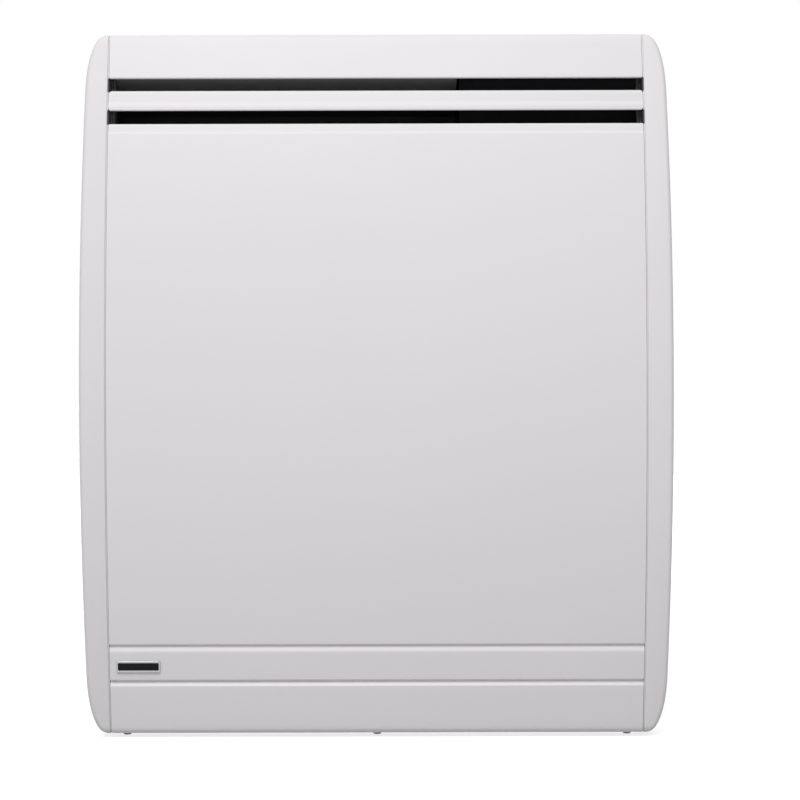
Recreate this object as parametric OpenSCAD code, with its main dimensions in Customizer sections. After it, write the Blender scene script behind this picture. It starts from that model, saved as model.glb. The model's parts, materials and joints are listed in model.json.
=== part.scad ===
// Wall-mounted panel convector heater.
// X runs along the width, Z points up and the front faces -Y.
// The origin lies on the wall, at the centre of the wall bracket's four screw holes.

/* [Overall size] */
// Width over both end caps
overall_w = 470; // [460:1:640]
// Height from the foot to the top of the hood
overall_h = 562; // [540:1:640]
// Depth from the wall to the crown of the bowed front
crown_depth = 120; // [114:1:150]
// Gap between the wall and the back of the casing
wall_gap = 17; // [16:0.5:24]
// Radius of the bow of the front, seen from the side
front_r = 1000; // [900:10:2000]

/* [Front sheets] */
// Thickness of the painted front sheets
sheet_t = 1.2; // [0.8:0.1:1.5]
// Height of the hood's face
hood_face_h = 36; // [32:0.5:48]
// Height of the upper outlet slot
upper_slot_h = 10.5; // [8:0.5:14]
// Height of the blade between the two slots
blade_h = 16; // [15:0.5:24]
// Height of the lower outlet slot
lower_slot_h = 11; // [8:0.5:14]
// Height of the set-back strip along the top edge of the panel
top_strip_h = 8; // [6:0.5:10]
// Height of the proud lower half of the blade
blade_nose_h = 7; // [6:0.5:9]
// How far the set-back strips lie behind the face
strip_set = 1.2; // [0.6:0.1:1.8]
// Height of the slope between a set-back strip and the face
strip_slope_h = 1.4; // [1:0.1:2]
// Height of the lowest strip of the panel, up to the lower groove
foot_strip_h = 44.5; // [38:0.5:56]
// Distance between the two grooves
badge_strip_h = 29; // [22:0.5:40]
// Height of a pressed groove
groove_h = 6.5; // [5:0.5:9]
// Height of the steep upper wall of a groove
groove_undercut_h = 1.8; // [1.5:0.1:3]
// Depth of a pressed groove
groove_depth = 2.5; // [1.5:0.1:3.5]
// Radius of the bend along the top of the hood
hood_bend_r = 6; // [4:0.5:9]
// Radius of the bend along the foot of the panel
foot_bend_r = 5; // [3.5:0.5:8]
// Radius of the small bends along the slots
edge_bend_r = 2; // [1.8:0.1:3]
// Depth of the flanges turned back along the slots
slot_flange = 10; // [7:0.5:12]
// Depth of the flange turned back along the foot of the panel
foot_flange = 22; // [18:0.5:26]
// Depth of the flanges turned back at the ends of hood and panel
side_flange = 14; // [12:0.5:18]
// Height of the flange turned down behind the hood
rear_flange = 18; // [16:0.5:26]
// Radius of the rounded ends of the blade
blade_end_r = 3; // [2:0.5:5]

/* [End caps] */
// Width of an end cap, seen from the front
cap_w = 20.5; // [20:0.5:34]
// Gap between a cap and the front sheets
seam_gap = 1; // [0.6:0.1:1.6]
// Wall thickness of the moulded caps
cap_wall = 2.5; // [2:0.1:3]
// How much the outer side of a cap bows in towards its ends
side_bow = 3.5; // [2:0.5:5]
// Width of the rounded corners at the ends of a cap
corner_w = 15; // [11:0.5:16]
// Height of the rounded corners at the ends of a cap
corner_h = 48; // [40:1:64]
// Radius of the long outer edge of a cap
cap_edge_r = 4; // [3:0.5:6]
// Depth of the cap's inner wall behind the seam
cap_return = 16; // [12:0.5:22]
// Thickness of the ribs inside a cap
cap_rib_t = 1.8; // [1.4:0.1:2.4]
// Radius of the screw bosses inside a cap
cap_boss_r = 4; // [3.5:0.1:5]
// Distance of the outer screw bosses from the ends of a cap
cap_boss_end = 91; // [81:1:131]
// Distance of the screw bosses from the wall
cap_boss_y = 46; // [36:1:56]

/* [Casing] */
// Thickness of the casing and of the inner sheets
case_t = 1; // [0.8:0.1:1.4]
// Play between the casing and the front sheets
lap_gap = 0.3; // [0.2:0.05:0.4]
// How far the casing's side walls stop behind the face
side_wall_set = 7; // [6:0.5:9]
// Depth of the casing's top flange
top_flange = 40; // [30:1:46]
// Height of a pressed bead in the casing's back
bead_h = 14; // [10:1:24]
// How far the beads stand out
bead_depth = 1.2; // [0.8:0.1:1.8]
// Width of an air inlet slot in the foot
inlet_w = 8; // [6:0.5:10]
// Length of an air inlet slot in the foot
inlet_l = 24; // [18:1:26]
// Spacing of the air inlet slots
inlet_pitch = 18; // [16:0.5:24]
// Distance of the inlet slots' middle from the wall
inlet_y = 37; // [35:0.5:40]
// Distance of the outer foot screws from the ends of the panel
foot_screw_end = 11.5; // [8.5:0.5:33.5]
// Distance of the foot screws behind the front edge of the foot
foot_screw_set = 11; // [9:0.5:14]

/* [Wall bracket] */
// Distance of each rail from the middle, half the spacing of the screw holes
rail_x = 115; // [100:1:140]
// Height of each row of wall screws above or below the middle
wall_screw_z = 150; // [120:1:180]
// Diameter of the wall screw holes
wall_screw_d = 6.5; // [5:0.1:8]
// Width of a rail
rail_w = 30; // [26:0.5:36]
// Thickness of the rails, crossbars and hooks
rail_t = 1.5; // [1.2:0.1:2]
// Distance of the top of the rails below the top of the hood
rail_drop = 25; // [21:1:31]
// Height of the lower end of the rails' flanges above the foot
rail_rise = 49; // [41:1:61]
// Height of a crossbar
crossbar_h = 30; // [24:1:40]
// Distance of the crossbars from the top and the foot
crossbar_end = 96; // [81:1:99]
// Play between the rails and the back of the casing
rail_play = 0.3; // [0.2:0.05:0.5]

/* [Tilting foot] */
// Diameter of the pivot bars
pivot_d = 5; // [4:0.1:6]
// Radial play of the pivot bars in the hooks
pivot_play = 0.08; // [0.03:0.01:0.1]
// Distance of the pivot axis from the wall
pivot_y = 9; // [8.5:0.1:9.5]
// Height of the pivot axis above the foot
pivot_rise = 26; // [21:1:33]
// Length of a pivot bar
pivot_l = 42; // [40:1:48]
// Width of a hook
hook_w = 22; // [16:1:24]
// Thickness of a hook
hook_t = 2; // [1.5:0.1:2.2]
// Thickness of an ear
ear_t = 1.5; // [1.2:0.1:2]
// Radius of an ear around the pivot
ear_r = 5; // [4.5:0.1:5.5]
// Distance of an ear from the middle of its rail
ear_x = 17; // [15:0.5:18]

/* [Catch springs] */
// Width of a catch spring
catch_w = 14; // [10:0.5:16]
// Thickness of a catch spring
catch_t = 0.8; // [0.6:0.1:1]
// Distance of the catch springs' noses below the top of the hood
catch_drop = 44; // [41:0.5:53]
// Play around a catch spring in its window
catch_play = 2; // [1:0.5:3]

/* [Controls] */
// Width of the control housing
ctrl_w = 142; // [134:1:150]
// Wall thickness of the control housing
ctrl_wall = 2; // [1.6:0.1:2.5]
// Distance between the control housing and the casing's back
ctrl_back_gap = 6; // [4:0.5:8]
// Width of the opening in the hood over the controls
cutout_w = 124; // [116:1:128]
// Depth of the opening in the hood over the controls
cutout_d = 42; // [38:0.5:44]
// Play between the fascia's rim and the hood
fascia_play = 0.4; // [0.3:0.05:0.6]
// Depth of the fascia's floor below the top of the hood
fascia_recess = 10; // [9.5:0.1:12]
// Thickness of the fascia's floor
fascia_t = 2; // [1.6:0.1:2.5]
// Thickness of the fascia's rim
rim_t = 1.6; // [1.2:0.1:2]
// Height of the fascia's rim above the hood
rim_proud = 0.4; // [0.2:0.1:0.8]
// Diameter of the thermostat knob
knob_d = 32; // [26:0.5:34]
// Height of the thermostat knob
knob_h = 9; // [7:0.5:10]
// Diameter of the thermostat spindle
spindle_d = 6; // [5:0.1:7]
// Radial play of the knob on its spindle
knob_play = 0.05; // [0.02:0.01:0.09]
// Distance of the knob from the middle of the fascia
knob_x = 32; // [28:0.5:36]
// Distance of the switch from the middle of the fascia
switch_x = 14; // [10:0.5:18]
// Distance of the pilot lamp from the middle of the fascia
lamp_x = 44; // [38:0.5:50]
// Width of the power switch
switch_w = 13; // [12:0.5:15]
// Length of the power switch
switch_l = 20; // [18:0.5:22]
// Tilt of the rocker to either side
rocker_tilt = 10; // [8:1:12]
// Diameter of the rocker's pivots
rocker_pin_d = 2; // [1.6:0.1:2.4]
// Diameter of the pilot lamp
lamp_d = 6; // [4:0.5:8]

/* [Heating element] */
// Height of the element above the foot
element_rise = 91; // [81:1:111]
// Distance of the element from the wall
element_y = 62; // [56:1:66]
// Diameter of the element's sheathed rod
rod_d = 8; // [6:0.1:10]
// Height of an element fin
fin_h = 30; // [24:1:40]
// Depth of an element fin
fin_d = 46; // [36:1:50]
// Thickness of an element fin
fin_t = 0.8; // [0.6:0.1:1.2]
// Spacing of the element fins
fin_pitch = 9; // [7:0.5:12]
// Distance between an element bracket and the casing's side wall
element_offset = 20; // [16:1:26]

/* [Badge place] */
// Width of the bare badge plate
badge_w = 35; // [30:0.5:45]
// Height of the bare badge plate
badge_h = 9.8; // [8:0.2:12]
// Distance of the badge plate from the end of the panel
badge_end = 5.5; // [5:0.5:12]
// Depth of the badge plate
badge_t = 1.4; // [1:0.1:2]

/* [Hidden] */
$fn = 64;

// Colours as the photograph shows them, and usual ones for what is hidden
white_paint = [0.89, 0.88, 0.89];
cap_white = [0.86, 0.85, 0.86];
zinc_grey = [0.66, 0.67, 0.68];
dark_zinc = [0.32, 0.32, 0.33];
black_plastic = [0.06, 0.06, 0.065];
bright_metal = [0.8, 0.8, 0.82];

// Heights of the edges of hood, blade and panel
half_h = overall_h / 2;
hood_z = half_h - hood_face_h;
blade_top = hood_z - upper_slot_h;
blade_foot = blade_top - blade_h;
panel_top = blade_foot - lower_slot_h;
low_groove_z = foot_strip_h - half_h;
high_groove_z = low_groove_z + badge_strip_h;

// Heights above or below the middle of what keeps to the top or the foot
cap_boss_z = half_h - cap_boss_end;
rail_top = half_h - rail_drop;
rail_low = half_h - rail_rise;
crossbar_z = half_h - crossbar_end;
pivot_z = half_h - pivot_rise;
catch_z = half_h - catch_drop;
element_z = half_h - element_rise;

// Widths of panel, casing and caps
panel_w = overall_w - 2 * (cap_w + seam_gap);
half_panel = panel_w / 2;
half_case = half_panel - sheet_t - lap_gap;
cap_x = half_panel + seam_gap;

// Planes of the casing
case_z = half_h - sheet_t - lap_gap;
back_y = -wall_gap;
back_in_y = back_y - case_t;
wall_in_x = half_case - case_t;
overlap = 0.5;
flange_inset = 0.1;
// Depth behind the face at which everything clears the slots' flanges
outlet_set = strip_set + edge_bend_r + slot_flange + lap_gap;
big = 2 * overall_h;

// Centre of the front's arc, seen from the side
arc_y = front_r - crown_depth;

// A point at a depth behind the face, on the arc's radius through height z
function face_pt(z, depth = 0) =
    let (a = asin(z / front_r), r = front_r - depth)
    [arc_y - r * cos(a), r * sin(a)];
// The face's distance from the wall at height z, at a depth behind it
function face_y(z, depth = 0) = arc_y - sqrt(pow(front_r - depth, 2) - z * z);
// Centre of a bend of radius r that ends the face at z_edge
function bend_z(z_edge, dir, r) = z_edge - dir * r;
function bend_y(z_edge, dir, r, depth = 0) =
    face_y(bend_z(z_edge, dir, r), depth + r);
// Height at which such a bend meets the face
function bend_start(z_edge, dir, r, depth = 0) =
    bend_z(z_edge, dir, r) * front_r / (front_r - depth - r);

// Offset of a bent line to its left, with mitred corners
function unit(v) = v / norm(v);
function left_of(v) = [-v[1], v[0]];
function mitred(p, i, t) =
    let (
        last = len(p) - 1,
        before = left_of(unit(p[max(i, 1)] - p[max(i, 1) - 1])),
        after = left_of(unit(p[min(i, last - 1) + 1] - p[min(i, last - 1)]))
    )
    p[i] + (before + after) * t / (1 + before * after);

// A sheet of thickness t folded along the points, on the left of its path
module folded(points, t) {
    inner = [for (i = [len(points) - 1:-1:0]) mitred(points, i, t)];
    polygon(concat(points, inner));
}

// Extrudes a side view, drawn as [y, z], along X
module along_x(w) {
    rotate([90, 0, 90]) linear_extrude(height = w, center = true) children();
}

// Extrudes a front view, drawn as [x, z], from y0 to y1
module along_y(y0, y1) {
    translate([0, y1, 0]) rotate([90, 0, 0]) linear_extrude(height = y1 - y0) children();
}

module both_sides() {
    children();
    mirror([1, 0, 0]) children();
}

module box(low, high) {
    translate(low) cube(high - low);
}

// A hole or shank along -Y, from y0 to y1
module rod_y(x, z, r, y0, y1) {
    translate([x, y1, z]) rotate([90, 0, 0]) cylinder(r = r, h = y1 - y0);
}

// A hole or shank along X, from x0 to x1
module rod_x(y, z, r, x0, x1) {
    translate([x0, y, z]) rotate([0, 90, 0]) cylinder(r = r, h = x1 - x0);
}

// The face between two heights, as a band of thickness t at a depth behind it
module face_band(z0, z1, depth = 0, t = sheet_t) {
    reach = 1.2 * front_r;
    intersection() {
        translate([arc_y, 0]) difference() {
            circle(r = front_r - depth, $fn = 720);
            circle(r = front_r - depth - t, $fn = 720);
        }
        polygon([[arc_y, 0], face_pt(z0, front_r - reach), face_pt(z1, front_r - reach)]);
    }
}

// Paths of the sheets' outer sides, drawn from the foot up as [y, z]
bend_steps = 6;
face_step = 8;

function arc_pts(c, r, a0, a1) =
    [for (i = [0:bend_steps])
        let (a = a0 + (a1 - a0) * i / bend_steps)
        c + r * [cos(a), sin(a)]];

// The bend and flange below a face, or above it
function low_lip(z_edge, r, flange, depth = 0) =
    let (
        c = [bend_y(z_edge, -1, r, depth), bend_z(z_edge, -1, r)],
        a = asin(c[1] / (front_r - depth - r))
    )
    concat([[c[0] + flange, z_edge]], arc_pts(c, r, 270, 180 - a));
function high_lip(z_edge, r, flange, depth = 0) =
    let (
        c = [bend_y(z_edge, 1, r, depth), bend_z(z_edge, 1, r)],
        a = asin(c[1] / (front_r - depth - r))
    )
    concat(arc_pts(c, r, 180 - a, 90), [[c[0] + flange, z_edge]]);

// Points on the face between two heights, without its ends
function face_pts(z0, z1) =
    let (n = max(2, ceil((z1 - z0) / face_step)))
    [for (i = [1:n - 1]) face_pt(z0 + (z1 - z0) * i / n)];

// A pressed groove below height z, steep above and sloping below
function groove_pts(z) =
    [face_pt(z - groove_h), face_pt(z - groove_undercut_h, groove_depth), face_pt(z)];

// The slope from the face at height z up to a set-back strip
function joggle_pts(z) = [face_pt(z), face_pt(z + strip_slope_h, strip_set)];

// A sheet behind a path
module front_sheet(path) {
    inner = [for (i = [0:len(path) - 1]) mitred(path, i, -sheet_t)];
    polygon(concat(inner, [for (i = [len(path) - 1:-1:0]) path[i]]));
}

// The space in front of a pressed groove, down to the middle of its sheet
module groove_air(z) {
    half = sheet_t / 2;
    polygon([
        face_pt(z, -groove_depth),
        face_pt(z, half),
        face_pt(z - groove_undercut_h, groove_depth + half),
        face_pt(z - groove_h, half),
        face_pt(z - groove_h, -groove_depth)
    ]);
}

// Painted front

strip_foot = panel_top - top_strip_h;

panel_path =
    let (
        foot = bend_start(-half_h, -1, foot_bend_r),
        z1 = low_groove_z - groove_h,
        z2 = high_groove_z - groove_h
    )
    concat(
        low_lip(-half_h, foot_bend_r, foot_flange),
        face_pts(foot, z1),
        groove_pts(low_groove_z),
        face_pts(low_groove_z, z2),
        groove_pts(high_groove_z),
        face_pts(high_groove_z, strip_foot),
        joggle_pts(strip_foot),
        high_lip(panel_top, edge_bend_r, slot_flange, strip_set)
    );

module panel_side() {
    difference() {
        side_band(bend_start(-half_h, -1, foot_bend_r) + overlap,
            strip_foot + strip_slope_h / 4);
        groove_air(low_groove_z);
        groove_air(high_groove_z);
    }
    side_band(strip_foot, bend_start(panel_top, 1, edge_bend_r, strip_set) - overlap,
        strip_set);
}

// The side view of a flange that starts in the middle of a front sheet
module side_band(z0, z1, depth = 0) {
    start = depth + sheet_t / 2;
    face_band(z0, z1, start, side_flange - start);
}

module end_flanges() {
    both_sides() translate([half_panel - flange_inset - sheet_t / 2, 0, 0])
        along_x(sheet_t) children();
}

foot_screw_y = bend_y(-half_h, -1, foot_bend_r) + foot_screw_set;
foot_screw_x = half_panel - foot_screw_end;
foot_screw_xs = [-foot_screw_x, 0, foot_screw_x];
foot_screw_l = 8;
screw_r = 1.75;
screw_play = 0.1;

module foot_screw_holes() {
    for (x = foot_screw_xs)
        translate([x, foot_screw_y, -half_h - overlap])
            cylinder(r = screw_r + screw_play, h = 4 * sheet_t);
}

module front_panel() {
    color(white_paint) difference() {
        union() {
            along_x(panel_w) front_sheet(panel_path);
            end_flanges() panel_side();
        }
        foot_screw_holes();
    }
}

blade_step = blade_foot + blade_nose_h;

blade_path =
    let (
        z0 = bend_start(blade_foot, -1, edge_bend_r),
        z1 = blade_step - strip_slope_h
    )
    concat(
        low_lip(blade_foot, edge_bend_r, slot_flange),
        face_pts(z0, z1),
        joggle_pts(z1),
        high_lip(blade_top, edge_bend_r, slot_flange, strip_set)
    );

// A front view of the blade, with rounded ends
module blade_outline() {
    square([panel_w - 2 * blade_end_r, blade_h], center = true);
    square([panel_w, blade_h - 2 * blade_end_r], center = true);
    for (x = [-1, 1], z = [-1, 1])
        translate([x * (half_panel - blade_end_r), z * (blade_h / 2 - blade_end_r)])
            circle(r = blade_end_r);
}

module outlet_blade() {
    color(white_paint) intersection() {
        along_x(panel_w) front_sheet(blade_path);
        along_y(-crown_depth, 0) translate([0, blade_foot + blade_h / 2]) blade_outline();
    }
}

// The hood, with the opening for the controls

support_t = 1.5;
ctrl_x1 = wall_in_x - support_t - lap_gap;
ctrl_x0 = ctrl_x1 - ctrl_w;
ctrl_mid = (ctrl_x0 + ctrl_x1) / 2;
ctrl_y0 = bend_y(hood_z, -1, edge_bend_r) + slot_flange + lap_gap;
ctrl_y1 = back_in_y - ctrl_back_gap;
ctrl_mid_y = (ctrl_y0 + ctrl_y1) / 2;
rear_bend_r = 2.5;
hood_screw_drop = 11;
hood_screw_end = 43.5;
hood_screw_x = half_panel - hood_screw_end;
hood_screw_l = 5.5;
hood_screw_z = half_h - hood_screw_drop;
hood_screw_xs = [-hood_screw_x, 0, hood_screw_x];

hood_path =
    let (
        z0 = bend_start(hood_z, -1, edge_bend_r),
        z1 = bend_start(half_h, 1, hood_bend_r),
        front = high_lip(half_h, hood_bend_r, 0),
        rear_y = back_y + sheet_t,
        c = [rear_y - rear_bend_r, half_h - rear_bend_r]
    )
    concat(
        low_lip(hood_z, edge_bend_r, slot_flange),
        face_pts(z0, z1),
        [for (i = [0:bend_steps]) front[i]],
        arc_pts(c, rear_bend_r, 90, 0),
        [[rear_y, half_h - rear_flange]]
    );

module hood_side() {
    side_band(bend_start(hood_z, -1, edge_bend_r) + overlap,
        bend_start(half_h, 1, hood_bend_r) - overlap);
}

module hood_screw_holes() {
    for (x = hood_screw_xs)
        rod_y(x, hood_screw_z, screw_r + screw_play, back_in_y - overlap,
            back_y + sheet_t + overlap);
}

module top_hood() {
    color(white_paint) difference() {
        union() {
            along_x(panel_w) front_sheet(hood_path);
            end_flanges() hood_side();
        }
        box([ctrl_mid - cutout_w / 2, ctrl_mid_y - cutout_d / 2, half_h - 2 * sheet_t],
            [ctrl_mid + cutout_w / 2, ctrl_mid_y + cutout_d / 2, half_h + overlap]);
        hood_screw_holes();
    }
}

// Moulded end caps, lofted through level sections

corner_z = half_h - corner_h;
corner_steps = 12;
side_steps = 10;
edge_steps = 5;
least_cap_w = 1;
edge_share = 0.8;
cap_zs = concat(
    [for (i = [corner_steps:-1:0]) -corner_z - corner_h * sin(90 * i / corner_steps)],
    [for (i = [1:side_steps - 1]) corner_z * (2 * i / side_steps - 1)],
    [for (i = [0:corner_steps]) corner_z + corner_h * sin(90 * i / corner_steps)]);

// The outer side of a cap at height z
function side_x(z) =
    let (u = min(1, max(0, (abs(z) - corner_z) / corner_h)))
    overall_w / 2 - side_bow * pow(z / half_h, 2) - corner_w * (1 - sqrt(1 - u * u));

// The front of a cap at height z, rounded at its upper and lower ends
function cap_front(z) =
    let (u = max(0, abs(z) - (half_h - foot_bend_r)))
    face_y(z) + foot_bend_r - sqrt(max(0, pow(foot_bend_r, 2) - u * u));

// A level section of the cap's outer form, or of its hollow where inset is not 0
function cap_section(z, inset, x_in, y_back) =
    let (
        x = max(side_x(z) - inset, x_in + least_cap_w),
        y = cap_front(z) + inset,
        r = min(cap_edge_r, edge_share * (x - x_in)),
        zz = z * (half_h - inset) / half_h
    )
    concat(
        [[x_in, y_back, zz], [x_in, y, zz]],
        [for (i = [0:edge_steps])
            let (a = 90 * i / edge_steps)
            [x - r + r * sin(a), y + r - r * cos(a), zz]],
        [[x, y_back, zz]]);

// A closed solid through sections that have equal numbers of points
module loft(sections) {
    n = len(sections[0]);
    m = len(sections);
    points = [for (s = sections) each s];
    sides = [for (j = [0:m - 2], i = [0:n - 1])
        let (k = (i + 1) % n)
        each [[j * n + i, (j + 1) * n + i, j * n + k],
            [j * n + k, (j + 1) * n + i, (j + 1) * n + k]]];
    ends = [[for (i = [0:n - 1]) i], [for (i = [n - 1:-1:0]) (m - 1) * n + i]];
    polyhedron(points = points, faces = concat(sides, ends), convexity = 8);
}

module cap_hollow() {
    loft([for (z = cap_zs) cap_section(z, cap_wall, cap_x + cap_wall, back_y + overlap)]);
}

// Cuts the inner wall away behind its return
module cap_mouth() {
    translate([cap_x + cap_wall / 2, 0, 0]) along_x(cap_wall + 2 * overlap)
        intersection() {
            translate([arc_y, 0]) circle(r = front_r - cap_return, $fn = 720);
            translate([-crown_depth, cap_wall - half_h])
                square([crown_depth + back_y + overlap, overall_h - 2 * cap_wall]);
        }
}

cap_boss_zs = [-cap_boss_z, 0, cap_boss_z];
cap_screw_l = 10;

module cap_ribs() {
    for (z = cap_boss_zs)
        box([cap_x, -crown_depth, z - cap_rib_t / 2],
            [overall_w / 2, back_y, z + cap_rib_t / 2]);
}

module end_cap() {
    color(cap_white) difference() {
        union() {
            difference() {
                loft([for (z = cap_zs) cap_section(z, 0, cap_x, back_y)]);
                difference() {
                    union() {
                        cap_hollow();
                        cap_mouth();
                    }
                    cap_ribs();
                }
            }
            for (z = cap_boss_zs)
                rod_x(-cap_boss_y, z, cap_boss_r, half_case, side_x(z) - cap_wall / 2);
        }
        for (z = cap_boss_zs)
            rod_x(-cap_boss_y, z, screw_r, half_case - overlap, half_case + cap_screw_l);
    }
}

module right_end_cap() {
    end_cap();
}

module left_end_cap() {
    mirror([1, 0, 0]) end_cap();
}

// Sheet casing

inlet_margin = 30;
casing_chamfer = 2;
bead_span = 2 * (rail_x - rail_w / 2) - 24;
bead_z = 95;
inlet_count = floor(2 * (half_case - inlet_margin) / inlet_pitch);
window_w = catch_w + 2 * catch_play;
window_half = 5 + catch_play;
gland_inset = 33;
gland_rise = 20;
gland_x = half_case - gland_inset;
gland_z = pivot_z - gland_rise;
gland_r = 6;
element_bracket_x = wall_in_x - element_offset;
element_tab_z = 24;
element_screw_l = 6;
foot_margin = 4;
ctrl_screw_drop = 26;
ctrl_screw_l = 8;
ctrl_screw_z = half_h - ctrl_screw_drop;
ctrl_screw_xs = [ctrl_mid - ctrl_w / 3, ctrl_mid + ctrl_w / 3];

// A side wall, cut back where the slots' flanges pass
module side_wall_profile() {
    z0 = panel_top - sheet_t - lap_gap;
    z1 = hood_z + sheet_t + lap_gap;
    difference() {
        intersection() {
            translate([arc_y, 0]) circle(r = front_r - side_wall_set, $fn = 720);
            translate([-crown_depth, -case_z]) square([crown_depth + back_y, 2 * case_z]);
        }
        polygon([
            [-crown_depth - overlap, z0],
            [face_y(z0) + outlet_set, z0],
            [face_y(z1) + outlet_set, z1],
            [-crown_depth - overlap, z1]
        ]);
    }
}

// Clears the hood's rear bend
module casing_chamfer_cut() {
    c = casing_chamfer + overlap;
    along_x(2 * half_case + 2 * overlap) polygon([
        [back_y - c, case_z + overlap],
        [back_y + overlap, case_z - c],
        [back_y + overlap, case_z + overlap]
    ]);
}

// Pressed beads that stiffen the back between the rails
module back_beads(inset, y0, y1) {
    for (z = [-bead_z, 0, bead_z])
        translate([0, 0, z]) along_y(y0, y1) rotate([0, 0, 90])
            obround(bead_h - 2 * inset, bead_span - 2 * inset);
}

module obround(w, l) {
    square([w, l - w], center = true);
    for (s = [-1, 1]) translate([0, s * (l - w) / 2]) circle(d = w, $fn = 32);
}

module inlet_slots() {
    for (i = [0:inlet_count - 1])
        translate([(i - (inlet_count - 1) / 2) * inlet_pitch, -inlet_y, -case_z - overlap])
            linear_extrude(height = case_t + 2 * overlap) obround(inlet_w, inlet_l);
}

module pivot_ear() {
    difference() {
        union() {
            translate([-pivot_y, -pivot_z]) circle(r = ear_r);
            translate([back_in_y + case_t / 2, -pivot_z - ear_r])
                square([wall_gap + case_t / 2 - pivot_y, 2 * ear_r]);
        }
        translate([-pivot_y, -pivot_z]) circle(d = pivot_d);
    }
}

module rear_casing() {
    color(zinc_grey) difference() {
        union() {
            box([-half_case, back_in_y, -case_z], [half_case, back_y, case_z]);
            both_sides() translate([half_case - case_t / 2, 0, 0])
                along_x(case_t) side_wall_profile();
            back_beads(0, back_in_y, back_y + bead_depth);
            box([-half_case, back_in_y - top_flange, case_z - case_t],
                [ctrl_x0 - lap_gap, back_in_y + overlap, case_z]);
            box([-half_case, foot_screw_y - foot_margin, -case_z],
                [half_case, back_in_y + overlap, case_t - case_z]);
            for (rail = [-rail_x, rail_x], side = [-ear_x, ear_x])
                translate([rail + side, 0, 0]) along_x(ear_t) pivot_ear();
        }
        casing_chamfer_cut();
        back_beads(case_t, back_in_y - overlap, back_y + bead_depth - case_t);
        inlet_slots();
        foot_screw_holes();
        hood_screw_holes();
        for (x = [-rail_x, rail_x])
            box([x - window_w / 2, back_in_y - overlap, catch_z - window_half],
                [x + window_w / 2, back_y + overlap, catch_z + window_half]);
        rod_y(gland_x, -gland_z, gland_r, back_in_y - overlap, back_y + overlap);
        both_sides() {
            for (z = cap_boss_zs)
                rod_x(-cap_boss_y, z, screw_r + screw_play, wall_in_x - overlap,
                    half_case + overlap);
            for (z = [-element_tab_z, element_tab_z])
                rod_x(-element_y, z - element_z, screw_r + screw_play,
                    wall_in_x - overlap, half_case + overlap);
        }
        for (x = ctrl_screw_xs)
            rod_y(x, ctrl_screw_z, screw_r + screw_play, back_in_y - overlap,
                back_y + overlap);
    }
}

// Supports behind the blade's ends
support_w = 14;
support_d = 17;

module blade_supports() {
    plate_x = wall_in_x - support_t / 2;
    reach = 4;
    root = 1;
    set = strip_set + sheet_t + lap_gap;
    z0 = blade_step + 1;
    z1 = blade_top - edge_bend_r - 1;
    color(dark_zinc) both_sides() {
        translate([plate_x, 0, 0]) along_x(support_t) {
            face_band(panel_top - reach, hood_z + reach, outlet_set, support_d);
            face_band(z0, z1, set, outlet_set + root - set);
        }
        translate([wall_in_x - support_w / 2, 0, 0]) along_x(support_w)
            face_band(z0, z1, set, support_t);
    }
}

// Dark angles on the caps that close the ends of the slots
end_plate_lap = 0.8;
end_plate_set = 2;
end_plate_play = 0.2;
end_plate_t = 1.2;

module slot_end_plates() {
    t = seam_gap - end_plate_play;
    x0 = half_case + end_plate_play;
    color(dark_zinc) both_sides() for (slot = [[panel_top, blade_foot], [blade_top, hood_z]]) {
        z0 = slot[0] - end_plate_lap;
        z1 = slot[1] + end_plate_lap;
        translate([cap_x - t / 2, 0, 0]) along_x(t)
            face_band(z0, z1, end_plate_set, cap_return - end_plate_set);
        translate([(x0 + cap_x) / 2, 0, 0]) along_x(cap_x - x0)
            face_band(z0, z1, cap_return - end_plate_t, end_plate_t);
    }
}

// The sheet that turns the warm air forwards, left of the controls
deflector_low = 24;
deflector_foot = 12;
deflector_gap = 2;

module air_deflector() {
    lip_top = hood_z + sheet_t + lap_gap + case_t;
    x0 = -wall_in_x + support_t + lap_gap;
    x1 = ctrl_x0 - deflector_gap;
    path = [
        [back_in_y, hood_z - deflector_low - deflector_foot],
        [back_in_y, hood_z - deflector_low],
        [ctrl_y0, lip_top],
        [ctrl_y0 - slot_flange / 2, lip_top]
    ];
    color(dark_zinc) translate([(x0 + x1) / 2, 0, 0]) along_x(x1 - x0) folded(path, case_t);
}

shield_gap = 9;
shield_drop = 9;
shield_top = hood_z - deflector_low - deflector_foot - shield_drop;
shield_rise = 76;
shield_foot = half_h - shield_rise;
shield_t = 0.8;
shield_foot_w = 10;
shield_x0 = 8;
shield_x1 = 62;

module heat_shield() {
    left = -wall_in_x + shield_x0;
    right = wall_in_x - shield_x1;
    front = back_in_y - shield_gap;
    path = [
        [right, back_in_y],
        [right - shield_foot_w, back_in_y],
        [right - shield_foot_w, front],
        [left + shield_foot_w, front],
        [left + shield_foot_w, back_in_y],
        [left, back_in_y]
    ];
    color(dark_zinc) translate([0, 0, -shield_foot])
        linear_extrude(height = shield_top + shield_foot) folded(path, shield_t);
}

// Heating element

bush_r = 5;
bush_flange_r = 7.5;
bush_gland_lip = 2.5;
rod_end = 8;
rod_half = element_bracket_x + rod_end;
fin_clear = 10;
fin_span = 2 * (element_bracket_x - fin_clear);
fin_count = floor(fin_span / fin_pitch);
sleeve_r = rod_d / 2 + 2;
bush_reach = 4;

module element_rod() {
    color(bright_metal) rod_x(-element_y, -element_z, rod_d / 2, -rod_half, rod_half);
}

module element_fins() {
    color(bright_metal) difference() {
        union() {
            rod_x(-element_y, -element_z, sleeve_r, -fin_span / 2, fin_span / 2);
            for (i = [0:fin_count - 1])
                translate([(i - (fin_count - 1) / 2) * fin_pitch, -element_y, -element_z])
                    cube([fin_t, fin_d, fin_h], center = true);
        }
        rod_x(-element_y, -element_z, rod_d / 2, -rod_half, rod_half);
    }
}

bracket_half_d = 20;
tab_h = 10;

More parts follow.
